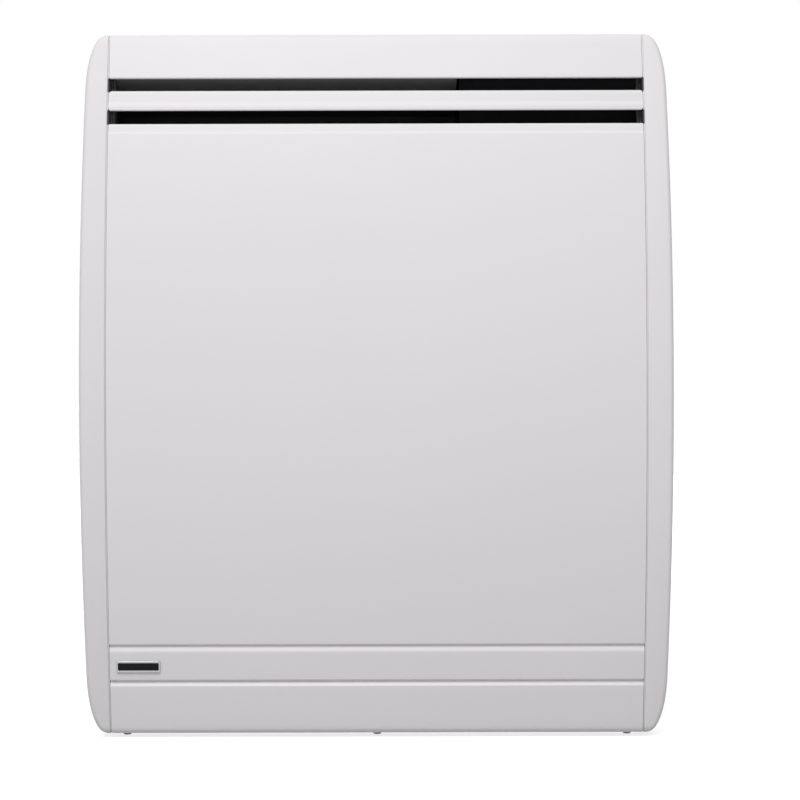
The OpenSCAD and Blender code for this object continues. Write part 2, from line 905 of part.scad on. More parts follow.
module element_brackets() {
    inner = element_bracket_x;
    outer = wall_in_x;
    leg = element_tab_z - 0.6 * tab_h;
    path = [
        [outer, leg + tab_h],
        [outer, leg],
        [inner, leg],
        [inner, -leg],
        [outer, -leg],
        [outer, -leg - tab_h]
    ];
    color(dark_zinc) both_sides() difference() {
        translate([0, 0, -element_z])
            along_y(-element_y - bracket_half_d, -element_y + bracket_half_d)
                folded(path, -case_t);
        rod_x(-element_y, -element_z, bush_r, inner - 2 * case_t, inner + 2 * case_t);
        for (z = [-element_tab_z, element_tab_z])
            rod_x(-element_y, z - element_z, screw_r, outer - 2 * case_t, outer + overlap);
    }
}

module element_insulators() {
    color([0.93, 0.91, 0.86]) both_sides() difference() {
        union() {
            rod_x(-element_y, -element_z, bush_r, element_bracket_x - case_t - bush_reach,
                element_bracket_x + bush_reach);
            rod_x(-element_y, -element_z, bush_flange_r, element_bracket_x,
                element_bracket_x + bush_gland_lip);
        }
        rod_x(-element_y, -element_z, rod_d / 2, element_bracket_x - 2 * bush_reach,
            element_bracket_x + 2 * bush_reach);
    }
}

tag_w = 6;
tag_l = 7;
tag_t = 0.8;
pin_r = 1.5;
pin_l = 5;

module element_terminals() {
    x = rod_half + 2;
    color(bright_metal) both_sides() {
        rod_x(-element_y, -element_z, pin_r, rod_half, rod_half + pin_l);
        box([x, -element_y - tag_w / 2, -element_z - tag_t / 2],
            [x + tag_l, -element_y + tag_w / 2, -element_z + tag_t / 2]);
    }
}

guard_x = 130;
guard_z = 120;
guard_r = 8;
guard_h = 7;
guard_cap_r = 6;
guard_cap_h = 4;
guard_tag_x = 3;
guard_front = back_in_y - shield_gap - shield_t;
guard_face = guard_front - guard_h - guard_cap_h;

module thermal_cutout() {
    color([0.85, 0.83, 0.78]) {
        rod_y(-guard_x, -guard_z, guard_r, guard_front - guard_h, guard_front);
        rod_y(-guard_x, -guard_z, guard_cap_r, guard_face, guard_front - guard_h);
    }
    color(bright_metal) for (x = [-guard_x - guard_tag_x, -guard_x + guard_tag_x])
        box([x - tag_t / 2, guard_face - tag_w, -guard_z - tag_w / 2],
            [x + tag_t / 2, guard_face, -guard_z + tag_w / 2]);
}

// Controls

floor_top = half_h - fascia_recess;
floor_foot = floor_top - fascia_t;
// The housing reaches down behind the lower slot
ctrl_foot_drop = 6;
ctrl_foot = panel_top - ctrl_foot_drop;
spindle_x = ctrl_mid - knob_x;
switch_mid = ctrl_mid + switch_x;
lamp_mid = ctrl_mid + lamp_x;
wire_hole_r = 7;
wire_y = back_in_y - 16;
wire_x = wall_in_x - 18;
ctrl_boss_r = 4;

module control_housing() {
    color(black_plastic) difference() {
        union() {
            box([ctrl_x0, ctrl_y0, ctrl_foot], [ctrl_x1, ctrl_y1, floor_foot]);
            for (x = ctrl_screw_xs)
                rod_y(x, ctrl_screw_z, ctrl_boss_r, ctrl_y1 - overlap, back_in_y);
        }
        box([ctrl_x0 + ctrl_wall, ctrl_y0 + ctrl_wall, ctrl_foot + ctrl_wall],
            [ctrl_x1 - ctrl_wall, ctrl_y1 - ctrl_wall, floor_foot + overlap]);
        for (x = ctrl_screw_xs)
            rod_y(x, ctrl_screw_z, screw_r, ctrl_y1 - ctrl_wall - overlap,
                back_in_y + overlap);
        translate([wire_x, wire_y, ctrl_foot - overlap])
            cylinder(r = wire_hole_r, h = ctrl_wall + 2 * overlap);
    }
}

bush_hole_r = 4.7;
switch_body_l = switch_l - 2;
lamp_hole_r = lamp_d / 2 + 0.1;

module fascia_rim(grow, low, high) {
    w = cutout_w / 2 - fascia_play - grow;
    d = cutout_d / 2 - fascia_play - grow;
    box([ctrl_mid - w, ctrl_mid_y - d, low], [ctrl_mid + w, ctrl_mid_y + d, high]);
}

module control_fascia() {
    color([0.2, 0.2, 0.21]) difference() {
        union() {
            box([ctrl_x0, ctrl_y0, floor_foot], [ctrl_x1, ctrl_y1, floor_top]);
            fascia_rim(0, floor_foot + fascia_t / 2, half_h + rim_proud);
        }
        fascia_rim(rim_t, floor_top, half_h + rim_proud + overlap);
        translate([spindle_x, ctrl_mid_y, floor_foot - overlap])
            cylinder(r = bush_hole_r, h = fascia_t + 2 * overlap);
        translate([lamp_mid, ctrl_mid_y, floor_foot - overlap])
            cylinder(r = lamp_hole_r, h = fascia_t + 2 * overlap);
        box([switch_mid - switch_w / 2, ctrl_mid_y - switch_body_l / 2,
                floor_foot - overlap],
            [switch_mid + switch_w / 2, ctrl_mid_y + switch_body_l / 2,
                floor_top + overlap]);
    }
}

knob_gap = 0.5;
knob_foot = floor_top + knob_gap;
knob_web = 2.5;
bush_play = 0.2;
thermostat_w = 30;
thermostat_h = 16;

module thermostat_body() {
    color([0.75, 0.74, 0.7]) {
        box([spindle_x - thermostat_w / 2, ctrl_mid_y - thermostat_w / 2,
                floor_foot - thermostat_h],
            [spindle_x + thermostat_w / 2, ctrl_mid_y + thermostat_w / 2, floor_foot]);
        translate([spindle_x, ctrl_mid_y, floor_foot])
            cylinder(r = bush_hole_r - bush_play, h = fascia_t);
        translate([spindle_x, ctrl_mid_y, floor_foot])
            cylinder(d = spindle_d, h = knob_foot + knob_h - knob_web - floor_foot);
    }
}

grip_count = 24;

module thermostat_knob() {
    r = knob_d / 2;
    skirt_h = 2.2;
    grip_set = 3.2;
    grip_h = 4.6;
    dot_r = 1.2;
    dot_set = 6;
    color(white_paint) translate([spindle_x, ctrl_mid_y, knob_foot]) difference() {
        union() {
            rotate_extrude() polygon([
                [0, 0], [r, 0], [r, skirt_h - 0.6], [r - 0.6, skirt_h],
                [r - 2.6, skirt_h + 0.4], [r - 3.4, knob_h - 0.8], [r - 4.2, knob_h],
                [0, knob_h]
            ]);
            for (i = [0:grip_count - 1])
                rotate([0, 0, 360 * i / grip_count])
                    translate([r - grip_set, 0, skirt_h]) cylinder(r = 0.7, h = grip_h, $fn = 16);
        }
        translate([0, 0, -overlap])
            cylinder(d = spindle_d + 2 * knob_play, h = knob_h - knob_web + 2 * overlap);
        translate([0, r - dot_set, knob_h - 0.5]) cylinder(r = dot_r, h = 2, $fn = 32);
    }
}

switch_rim_h = 1.6;
switch_rim_w = 1;
switch_top = floor_top + switch_rim_h;
switch_depth = 18;
switch_wall = 1.4;
switch_hollow = 9;
switch_tag_pitch = 5;
rocker_drop = 1.5;
rocker_z = floor_top - rocker_drop;
rocker_gap = 0.3;
rocker_end_gap = 0.6;
pin_end_gap = 0.2;
pin_skin = 0.4;
rocker_w = switch_w - 2 * switch_wall - 2 * rocker_gap;
rocker_half = switch_body_l / 2 - switch_wall - rocker_end_gap;

module power_switch_body() {
    color(black_plastic) {
        difference() {
            union() {
                box([switch_mid - switch_w / 2, ctrl_mid_y - switch_body_l / 2,
                        floor_top - switch_depth],
                    [switch_mid + switch_w / 2, ctrl_mid_y + switch_body_l / 2,
                        switch_top]);
                box([switch_mid - switch_w / 2 - switch_rim_w,
                        ctrl_mid_y - switch_l / 2, floor_top],
                    [switch_mid + switch_w / 2 + switch_rim_w,
                        ctrl_mid_y + switch_l / 2, switch_top]);
            }
            box([switch_mid - switch_w / 2 + switch_wall,
                    ctrl_mid_y - switch_body_l / 2 + switch_wall,
                    floor_top - switch_hollow],
                [switch_mid + switch_w / 2 - switch_wall,
                    ctrl_mid_y + switch_body_l / 2 - switch_wall, switch_top + overlap]);
            rod_x(ctrl_mid_y, rocker_z, rocker_pin_d / 2 + knob_play,
                switch_mid - switch_w / 2 + pin_skin, switch_mid + switch_w / 2 - pin_skin);
        }
    }
    color(bright_metal) for (y = [-switch_tag_pitch, 0, switch_tag_pitch])
        box([switch_mid - tag_w / 2, ctrl_mid_y + y - tag_t / 2,
                floor_top - switch_depth - tag_l],
            [switch_mid + tag_w / 2, ctrl_mid_y + y + tag_t / 2,
                floor_top - switch_depth]);
}

// The rocker's side view about its pivot, level
module rocker_profile() {
    h = rocker_half;
    polygon([
        [-h + 2, -3], [h - 2, -3], [h - 0.6, 0.6], [h - 0.3, 4.1],
        [0, 3], [0.3 - h, 4.1], [0.6 - h, 0.6]
    ]);
}

module power_rocker() {
    pin_half = switch_w / 2 - pin_skin - pin_end_gap;
    color([0.75, 0.08, 0.06]) translate([switch_mid, ctrl_mid_y, rocker_z])
        rotate([-rocker_tilt, 0, 0]) {
            along_x(rocker_w) rocker_profile();
            rod_x(0, 0, rocker_pin_d / 2, -pin_half, pin_half);
        }
}

module pilot_lens() {
    r = lamp_d / 2;
    stem = 6;
    collar = 1.2;
    color([0.85, 0.3, 0.1]) translate([lamp_mid, ctrl_mid_y, floor_foot]) {
        translate([0, 0, -stem]) cylinder(r = r, h = stem + fascia_t);
        translate([0, 0, -collar]) cylinder(r = r + 1, h = collar);
        translate([0, 0, fascia_t]) rotate_extrude() intersection() {
            translate([0, -1]) circle(r = norm([r, 1]));
            square([r, r]);
        }
    }
}

// Wiring and connections

// A round tube along a list of points, with flat ends
function tube_dir(p, i) =
    unit(p[min(i + 1, len(p) - 1)] - p[max(i - 1, 0)]);
function tube_side(d) = abs(d[2]) > 0.9 ? unit(cross(d, [1, 0, 0])) : unit(cross(d, [0, 0, 1]));
function ring(p, d, r, n) =
    let (s = tube_side(d), t = cross(d, s))
    [for (i = [0:n - 1]) p + r * (cos(360 * i / n) * s + sin(360 * i / n) * t)];

// Smooths a route by cutting each corner twice
function cut_corners(p) = concat([p[0]],
    [for (i = [1:len(p) - 2]) each [0.75 * p[i] + 0.25 * p[i - 1], 0.75 * p[i] + 0.25 * p[i + 1]]],
    [p[len(p) - 1]]);

module tube(route, r, n = 8) {
    p = cut_corners(cut_corners(route));
    loft([for (i = [0:len(p) - 1]) ring(p[i], tube_dir(p, i), r, n)]);
}

block_w = 30;
block_d = 15;
block_h = 18;
block_x = gland_x;
block_rise = 76;
block_z = half_h - block_rise;
block_hole_r = 2.5;
block_hole_y = 6;
block_screw_r = 2;

module terminal_block() {
    color([0.9, 0.9, 0.86]) difference() {
        box([block_x - block_w / 2, back_in_y - block_d, -block_z - block_h / 2],
            [block_x + block_w / 2, back_in_y, -block_z + block_h / 2]);
        for (i = [-1:1])
            translate([block_x + i * block_w / 3, back_in_y - block_hole_y, -block_z])
                cylinder(r = block_hole_r, h = block_h + 1, center = true, $fn = 32);
        for (i = [-1:1], s = [-1, 1])
            rod_y(block_x + i * block_w / 3, -block_z + s * block_h / 4, block_screw_r,
                back_in_y - block_d - overlap, back_in_y - block_hole_y);
    }
}

gland_bore_r = 4;
gland_lip = 2;

module cable_gland() {
    color(black_plastic) translate([gland_x, 0, -gland_z]) difference() {
        union() {
            rod_y(0, 0, gland_r, back_in_y - gland_lip, back_y + gland_lip);
            rod_y(0, 0, gland_r + gland_lip, back_y, back_y + gland_lip);
            rod_y(0, 0, gland_r + gland_lip, back_in_y - gland_lip, back_in_y);
        }
        rod_y(0, 0, gland_bore_r, back_in_y - gland_lip - overlap,
            back_y + gland_lip + overlap);
    }
}

// Where the wires and the capillary tube pass the housing's wire hole
wire_spots = [[-3, 2], [0.2, 2.8], [3.4, -1.8], [-1.8, -3]];
capillary_spot = [3.8, 1.8];
capillary_r = 0.8;
wire_r = 1.2;
bulb_r = 3;
bulb_l = 60;
bulb_x = half_case - 70;
bulb_y = 64;
bulb_rise = 26;
bulb_z = case_z - bulb_rise;
clip_t = 1;
clip_w = 10;

module thermostat_bulb() {
    color([0.72, 0.45, 0.3])
        rod_x(-bulb_y, -bulb_z, bulb_r, bulb_x - bulb_l / 2, bulb_x + bulb_l / 2);
}

module bulb_clip() {
    foot = case_t - case_z;
    post_h = bulb_rise - case_t - bulb_r - clip_t / 2;
    color(bright_metal) translate([bulb_x, 0, 0]) along_x(clip_w) {
        difference() {
            translate([-bulb_y, -bulb_z]) circle(r = bulb_r + clip_t);
            translate([-bulb_y, -bulb_z]) circle(r = bulb_r);
        }
        translate([-bulb_y - clip_t / 2, foot]) square([clip_t, post_h]);
        translate([-bulb_y - clip_t / 2, foot]) square([clip_w, clip_t]);
    }
}

module capillary_tube() {
    x = wall_in_x - 4;
    entry = [wire_x, wire_y] + capillary_spot;
    behind_y = ctrl_mid_y + switch_body_l / 2 + 6;
    body_x = spindle_x + thermostat_w / 2;
    body_z = floor_foot - thermostat_h / 2;
    over_z = floor_foot - 6;
    color([0.72, 0.45, 0.3]) tube([
        [bulb_x + bulb_l / 2, -bulb_y, -bulb_z],
        [bulb_x + bulb_l / 2 + 14, -bulb_y, -bulb_z],
        [x, wire_y, 6 - bulb_z],
        [x, wire_y, 40 - bulb_z],
        [x, wire_y, 0],
        [x, wire_y, ctrl_foot - 60],
        [entry[0], entry[1], ctrl_foot - 30],
        [entry[0], entry[1], ctrl_foot + 12],
        [entry[0], entry[1], over_z],
        [switch_mid + switch_w, behind_y, over_z],
        [body_x + 16, behind_y, over_z],
        [body_x + 8, ctrl_mid_y + 6, body_z],
        [body_x, ctrl_mid_y + 6, body_z]
    ], capillary_r);
}

module internal_wires() {
    top = -block_z + block_h / 2;
    block_y = back_in_y - block_hole_y;
    shield_y = guard_front - 4;
    tag_z = floor_top - switch_depth - tag_l / 2;
    behind_y = ctrl_y1 - ctrl_wall - 4;
    body_foot = floor_foot - thermostat_h;
    color([0.85, 0.85, 0.85]) {
        for (i = [0, 1]) {
            spot = [wire_x, wire_y] + wire_spots[i];
            hole_x = block_x + (2 * i - 1) * block_w / 3;
            tag_y = ctrl_mid_y + (2 * i - 1) * switch_tag_pitch;
            tube([
                [hole_x, block_y, top],
                [hole_x, block_y, top + 20],
                [spot[0], spot[1], top + 50],
                [spot[0], spot[1], 0],
                [spot[0], spot[1], ctrl_foot - 20],
                [spot[0], spot[1], ctrl_foot + 12],
                [switch_mid + 18, tag_y, tag_z],
                [switch_mid + tag_w / 2, tag_y, tag_z]
            ], wire_r);
        }
        spot = [wire_x, wire_y] + wire_spots[2];
        tube([
            [rod_half + 6, 3 - element_y, -element_z],
            [rod_half + 5, 14 - element_y, -element_z],
            [rod_half + 2, wire_y - 3, 6 - element_z],
            [rod_half + 2, wire_y - 3, 60 - element_z],
            [spot[0], spot[1], 0],
            [spot[0], spot[1], ctrl_foot - 20],
            [spot[0], spot[1], ctrl_foot + 8],
            [switch_mid + 14, behind_y, ctrl_foot + 8],
            [switch_mid - 14, behind_y, ctrl_foot + 8],
            [spindle_x + 8, ctrl_mid_y + 8, ctrl_foot + 6],
            [spindle_x + 8, ctrl_mid_y + 8, body_foot]
        ], wire_r);
        tube([
            [-rod_half - 6, 3 - element_y, -element_z],
            [-rod_half - 5, 14 - element_y, -element_z],
            [-rod_half - 2, shield_y, 14 - element_z],
            [-rod_half + 10, shield_y, 30 - guard_z],
            [-guard_x - guard_tag_x, shield_y - 8, 40 - guard_z],
            [-guard_x - guard_tag_x, shield_y - 10, 3 - guard_z]
        ], wire_r);
        last = [wire_x, wire_y] + wire_spots[3];
        tube([
            [guard_tag_x - guard_x, shield_y - 10, 3 - guard_z],
            [guard_tag_x - guard_x, shield_y - 8, 40 - guard_z],
            [24 - guard_x, shield_y, 60 - guard_z],
            [block_x - 40, shield_y, 60 - guard_z],
            [last[0], last[1], 90 - guard_z],
            [last[0], last[1], ctrl_foot - 40],
            [last[0], last[1], ctrl_foot - 4],
            [last[0], last[1], ctrl_foot + 6],
            [switch_mid + 14, behind_y, ctrl_foot + 4],
            [switch_mid - 14, behind_y, ctrl_foot + 4],
            [spindle_x - 4, ctrl_mid_y + 4, ctrl_foot + 4],
            [spindle_x - 4, ctrl_mid_y + 4, body_foot]
        ], wire_r);
    }
}

earth_rise = 16;

module earth_terminal() {
    stud_l = 9;
    nut_r = 4;
    nut_h = 3;
    z = block_h / 2 + earth_rise - block_z;
    color([0.8, 0.66, 0.3]) {
        rod_y(block_x, z, block_screw_r, back_in_y - stud_l, back_in_y);
        translate([block_x, back_in_y - case_t, z]) rotate([90, 0, 0])
            cylinder(r = nut_r, h = nut_h, $fn = 6);
    }
}

// Fasteners

head_r = 3.5;
head_h = 2.4;
cross_l = 3.6;
cross_w = 0.8;
cross_d = 1;

// A domed screw with its head above z = 0 and its shank below, with a cross recess
module screw(l) {
    dome_r = (head_r * head_r + head_h * head_h) / (2 * head_h);
    difference() {
        union() {
            rotate_extrude() intersection() {
                translate([0, head_h - dome_r]) circle(r = dome_r);
                square([head_r, head_h]);
            }
            translate([0, 0, -l]) cylinder(r = screw_r, h = l);
        }
        for (a = [0, 90]) rotate([0, 0, a])
            translate([-cross_l / 2, -cross_w / 2, head_h - cross_d])
                cube([cross_l, cross_w, 2 * cross_d]);
    }
}

module foot_screws() {
    color(bright_metal) for (x = foot_screw_xs)
        translate([x, foot_screw_y, -half_h]) rotate([180, 0, 0])
            screw(foot_screw_l);
}

module hood_screws() {
    color(bright_metal) for (x = hood_screw_xs)
        translate([x, back_y + sheet_t, hood_screw_z]) rotate([-90, 0, 0])
            screw(hood_screw_l);
}

module end_cap_screws() {
    color(bright_metal) both_sides() for (z = cap_boss_zs)
        translate([wall_in_x, -cap_boss_y, z]) rotate([0, -90, 0]) screw(cap_screw_l);
}

module element_screws() {
    color(bright_metal) both_sides() for (z = [-element_tab_z, element_tab_z])
        translate([half_case, -element_y, z - element_z]) rotate([0, 90, 0])
            screw(element_screw_l);
}

module control_screws() {
    color(bright_metal) for (x = ctrl_screw_xs)
        translate([x, back_y, ctrl_screw_z]) rotate([-90, 0, 0])
            screw(ctrl_screw_l);
}

// Wall bracket

rail_front = rail_play - wall_gap;
rail_tail = 8;
rail_end = pivot_z + pivot_d / 2 + rail_tail;
hook_nose = 4;
hook_r = pivot_d / 2 + pivot_play;

module hook_profile() {
    outer = hook_r + hook_t;
    translate([-pivot_y, -pivot_z]) {
        difference() {
            circle(r = outer);
            circle(r = hook_r);
            translate([-outer - 1, 0]) square([2 * outer + 2, outer + 1]);
            translate([0, -outer - 1]) square([outer + 1, 2 * outer + 2]);
        }
        translate([-outer, 0]) square([hook_t, hook_nose]);
        translate([0, -outer]) square([pivot_y, hook_t]);
    }
}

module rail() {
    path = [
        [-rail_w / 2, rail_front],
        [-rail_w / 2, 0],
        [rail_w / 2, 0],
        [rail_w / 2, rail_front]
    ];
    color(white_paint) difference() {
        union() {
            translate([rail_x, 0, -rail_low])
                linear_extrude(height = rail_top + rail_low) folded(path, -rail_t);
            box([rail_x - rail_w / 2, -rail_t, -rail_end],
                [rail_x + rail_w / 2, 0, overlap - rail_low]);
            translate([rail_x, 0, 0]) along_x(hook_w) hook_profile();
        }
        for (z = [-wall_screw_z, wall_screw_z])
            rod_y(rail_x, z, wall_screw_d / 2, -rail_t - overlap, overlap);
    }
}

module right_rail() {
    rail();
}

module left_rail() {
    mirror([1, 0, 0]) rail();
}

// Depth of the tabs that rivet a crossbar to the rails
tab_depth = 12;

module crossbar(z) {
    x = rail_x - rail_w / 2;
    path = [[-x, -tab_depth], [-x, 0], [x, 0], [x, -tab_depth]];
    color(white_paint) translate([0, 0, z - crossbar_h / 2])
        linear_extrude(height = crossbar_h) folded(path, -rail_t);
}

module upper_crossbar() {
    crossbar(crossbar_z);
}

module lower_crossbar() {
    crossbar(-crossbar_z);
}

rivet_r = 2.2;
rivet_h = 1.2;
catch_clamp = 22;
catch_fall = 9;
catch_rise = 8;
nose_depth = 4.5;
catch_slope = 11;
catch_stand = 3;
catch_tip = 2.5;
catch_root = catch_z - catch_fall - catch_slope;

module bracket_rivets() {
    tab_x = rail_x - rail_w / 2 - rail_t;
    color(bright_metal) both_sides() {
        for (z = [catch_root - 0.75 * catch_clamp, catch_root - 0.25 * catch_clamp])
            rod_y(rail_x, z, rivet_r, -rail_t - catch_t - rivet_h, -rail_t - catch_t);
        for (bar = [-crossbar_z, crossbar_z], s = [-crossbar_h / 4, crossbar_h / 4])
            rod_x(-tab_depth / 2 - rail_t / 2, bar + s, rivet_r, tab_x - rivet_h, tab_x);
    }
}

// Leaf springs that run up the rails and snap into the casing's windows
module catch_springs() {
    root_y = -rail_t - catch_t;
    path = [
        [root_y, catch_root - catch_clamp],
        [root_y, catch_root],
        [back_y + catch_stand, catch_z - catch_fall],
        [back_in_y - nose_depth, catch_z],
        [back_y + catch_tip, catch_z + catch_rise]
    ];
    color(bright_metal) both_sides() translate([rail_x, 0, 0])
        along_x(catch_w) folded(path, -catch_t);
}

module pivot_bars() {
    color(bright_metal) for (x = [-rail_x, rail_x])
        rod_x(-pivot_y, -pivot_z, pivot_d / 2, x - pivot_l / 2, x + pivot_l / 2);
}

// Bare place for a badge

badge_mid_z = (low_groove_z + high_groove_z - groove_h) / 2;
badge_mid_x = badge_end + badge_w / 2 - half_panel;
badge_border = 1.1;
badge_floor = 0.5;

// Places children on the face at height z, with -Y pointing out of the face
module on_face(x, z) {
    p = face_pt(z);
    translate([x, p[0], p[1]]) rotate([-asin(z / front_r), 0, 0]) children();
}

module badge_frame() {
    w = badge_w / 2;
    h = badge_h / 2;
    color(bright_metal) on_face(badge_mid_x, badge_mid_z) difference() {
        box([-w, -badge_t, -h], [w, 0, h]);
        box([badge_border - w, -badge_t - overlap, badge_border - h],
            [w - badge_border, -badge_floor, h - badge_border]);
    }
}

module badge_inlay() {
    w = badge_w / 2 - badge_border;
    h = badge_h / 2 - badge_border;
    color(black_plastic) on_face(badge_mid_x, badge_mid_z)
        box([-w, badge_floor - badge_t, -h], [w, -badge_floor, h]);
}

left_rail();
right_rail();
upper_crossbar();
lower_crossbar();
bracket_rivets();
catch_springs();
pivot_bars();
rear_casing();
front_panel();
outlet_blade();
top_hood();
left_end_cap();
right_end_cap();
blade_supports();
slot_end_plates();
air_deflector();
heat_shield();
element_rod();
element_fins();
element_brackets();
element_insulators();
element_terminals();
thermal_cutout();
control_housing();
control_fascia();
thermostat_body();
thermostat_knob();
power_switch_body();
power_rocker();
pilot_lens();
thermostat_bulb();
bulb_clip();
capillary_tube();
terminal_block();
cable_gland();
internal_wires();
earth_terminal();
foot_screws();
hood_screws();
end_cap_screws();
element_screws();
control_screws();
badge_frame();
badge_inlay();
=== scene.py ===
# %% [markdown]
# # A wall-mounted panel heater, dressed for the camera
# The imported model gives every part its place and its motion. This lesson puts finer sheets,
# mouldings and screws over those plain solids, and gives each one a finish. Shapes are drawn
# in millimetres, and one factor turns them into Blender's metres. Finishes, camera, lamp and
# floor use metres.

# %% Load the frame
import json
import math

import bmesh
import bpy
from mathutils import Matrix, Vector


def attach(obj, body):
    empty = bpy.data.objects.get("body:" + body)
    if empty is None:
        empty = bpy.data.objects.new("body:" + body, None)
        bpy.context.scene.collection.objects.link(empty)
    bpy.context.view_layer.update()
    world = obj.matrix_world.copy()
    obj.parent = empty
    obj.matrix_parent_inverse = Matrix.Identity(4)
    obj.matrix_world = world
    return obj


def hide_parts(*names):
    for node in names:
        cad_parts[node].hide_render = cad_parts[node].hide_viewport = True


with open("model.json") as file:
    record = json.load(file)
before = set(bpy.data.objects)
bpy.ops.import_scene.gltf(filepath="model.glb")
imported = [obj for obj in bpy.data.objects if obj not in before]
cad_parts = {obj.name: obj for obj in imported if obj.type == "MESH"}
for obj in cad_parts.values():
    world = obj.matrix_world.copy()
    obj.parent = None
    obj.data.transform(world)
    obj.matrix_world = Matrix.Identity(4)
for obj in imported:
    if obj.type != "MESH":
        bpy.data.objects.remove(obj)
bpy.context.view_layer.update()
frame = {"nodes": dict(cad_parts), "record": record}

MM = 0.001

# %% [markdown]
# ## Shapes as plain data
# A piece starts as a list of corner points and the faces that join them, because such a list
# can be moved, mirrored and added to another in one line. Blender's own primitives would do
# for a block, but not for a sheet with rounded bends, so they aren't used.

# %% A small shape kit


class Shape:
    """Corner points in millimetres, and the faces between them."""

    def __init__(self, points=(), faces=()):
        self.points = [Vector(p) for p in points]
        self.faces = [tuple(f) for f in faces]

    def __add__(self, other):
        n = len(self.points)
        moved = [tuple(i + n for i in f) for f in other.faces]
        return Shape(self.points + other.points, self.faces + moved)

    def placed(self, matrix):
        return Shape([matrix @ p for p in self.points], self.faces)

    def at(self, x, y, z):
        return self.placed(Matrix.Translation((x, y, z)))

    def turned(self, degrees, axis):
        return self.placed(Matrix.Rotation(math.radians(degrees), 4, axis))

    def mirrored(self):
        return Shape([(-p.x, p.y, p.z) for p in self.points], [f[::-1] for f in self.faces])

    def both_sides(self):
        return self + self.mirrored()


def total(shapes):
    """Several shapes as one."""
    whole = Shape()
    for shape in shapes:
        whole = whole + shape
    return whole


def new_object(name, data):
    """An object made from a mesh, a lamp or a camera, linked to the scene."""
    obj = bpy.data.objects.new(name, data)
    bpy.context.scene.collection.objects.link(obj)
    return obj


def mesh_of(shape, name):
    """The shape as a Blender mesh in metres, with its faces all turned outwards."""
    mesh = bpy.data.meshes.new(name)
    mesh.from_pydata([p * MM for p in shape.points], [], shape.faces)
    bm = bmesh.new()
    bm.from_mesh(mesh)
    bmesh.ops.recalc_face_normals(bm, faces=bm.faces)
    bm.to_mesh(mesh)
    bm.free()
    return mesh


def applied(obj):
    """The mesh that an object's modifiers leave."""
    graph = bpy.context.evaluated_depsgraph_get()
    return bpy.data.meshes.new_from_object(obj.evaluated_get(graph))


def carved(shape, cutter, operation="DIFFERENCE"):
    """One shape cut by another, through Blender's exact boolean."""
    pair = [new_object("work", mesh_of(part, "work")) for part in (shape, cutter)]
    cut = pair[0].modifiers.new("cut", "BOOLEAN")
    cut.operation, cut.object, cut.solver = operation, pair[1], "EXACT"
    mesh = applied(pair[0])
    result = Shape([v.co / MM for v in mesh.vertices], [p.vertices for p in mesh.polygons])
    for obj in pair:
        bpy.data.objects.remove(obj)
    return result


# %% [markdown]
# ## Lines, bends and prisms
# Sheet metal is a line with a thickness. The line is drawn through corners that each carry a
# bend radius, then it is copied sideways by the sheet's thickness, and the closed outline is
# pushed along an axis. The ends of that prism get a small rounding ring by ring, because a
# bevel modifier shrinks to nothing on outlines with very short segments.

# %% Lines and prisms


def rounded(corners, steps=6):
    """A line through (u, v, radius) corners, each rounded by its own radius."""
    line = []
    for i, (u, v, r) in enumerate(corners):
        here = Vector((u, v))
        if r == 0 or i in (0, len(corners) - 1):
            line.append(here)
            continue
        before = (Vector(corners[i - 1][:2]) - here).normalized()
        after = (Vector(corners[i + 1][:2]) - here).normalized()
        half = before.angle(after) / 2
        reach = r / math.tan(half)
        centre = here + (before + after).normalized() * r / math.sin(half)
        start = here + before * reach - centre
        end = here + after * reach - centre
        turn = math.atan2(start.x * end.y - start.y * end.x, start.dot(end))
        for k in range(steps + 1):
            line.append(centre + Matrix.Rotation(turn * k / steps, 2) @ start)
    return line


def offset_line(line, distance, closed=False):
    """The line moved to its left by a distance, with mitred corners."""
    moved, n = [], len(line)
    for i, here in enumerate(line):
        before = here - line[i - 1] if closed or i else line[1] - line[0]
        after = line[(i + 1) % n] - here if closed or i < n - 1 else before
        a = Vector((-before.y, before.x)).normalized()
        b = Vector((-after.y, after.x)).normalized()
        moved.append(here + (a + b) * distance / (1 + a.dot(b)))
    return moved


def sheet_loop(corners, thickness, steps=6):
    """The outline of a sheet to the left of a cornered line, with true bends on both sides."""
    path = [Vector(c[:2]) for c in corners]
    back = []
    for i, (p, corner) in enumerate(zip(offset_line(path, thickness), corners)):
        r = corner[2]
        if r and 0 < i < len(path) - 1:
            a, b = path[i] - path[i - 1], path[i + 1] - path[i]
            inside = (a.x * b.y - a.y * b.x) * thickness > 0
            r = max(0.3, r - abs(thickness)) if inside else r + abs(thickness)
        back.append((p.x, p.y, r))
    return rounded(corners, steps) + rounded(back, steps)[::-1]


def signed_area(loop):
    return sum(a.x * b.y - b.x * a.y for a, b in zip(loop, loop[1:] + loop[:1])) / 2


EDGE_STEPS = 3


def prism(loop, low, high, axis="X", edge=0.0):
    """A closed outline pushed along an axis, with its two end edges rounded."""
    inward = edge if signed_area(loop) > 0 else -edge
    levels = [(low, 1.0)] if edge == 0 else []
    for k in range(EDGE_STEPS + 1) if edge else ():
        a = math.radians(90 * k / EDGE_STEPS)
        levels.append((low + edge * (1 - math.cos(a)), 1 - math.sin(a)))
    levels += [(low + high - at, share) for at, share in reversed(levels)]
    rings = []
    for at, share in levels:
        ring = offset_line(loop, inward * share, closed=True) if share > 0 and edge else loop
        rings.append([
            {"X": (at, p.x, p.y), "Y": (p.x, at, p.y), "Z": (p.x, p.y, at)}[axis]
            for p in ring
        ])
    return loft(rings)


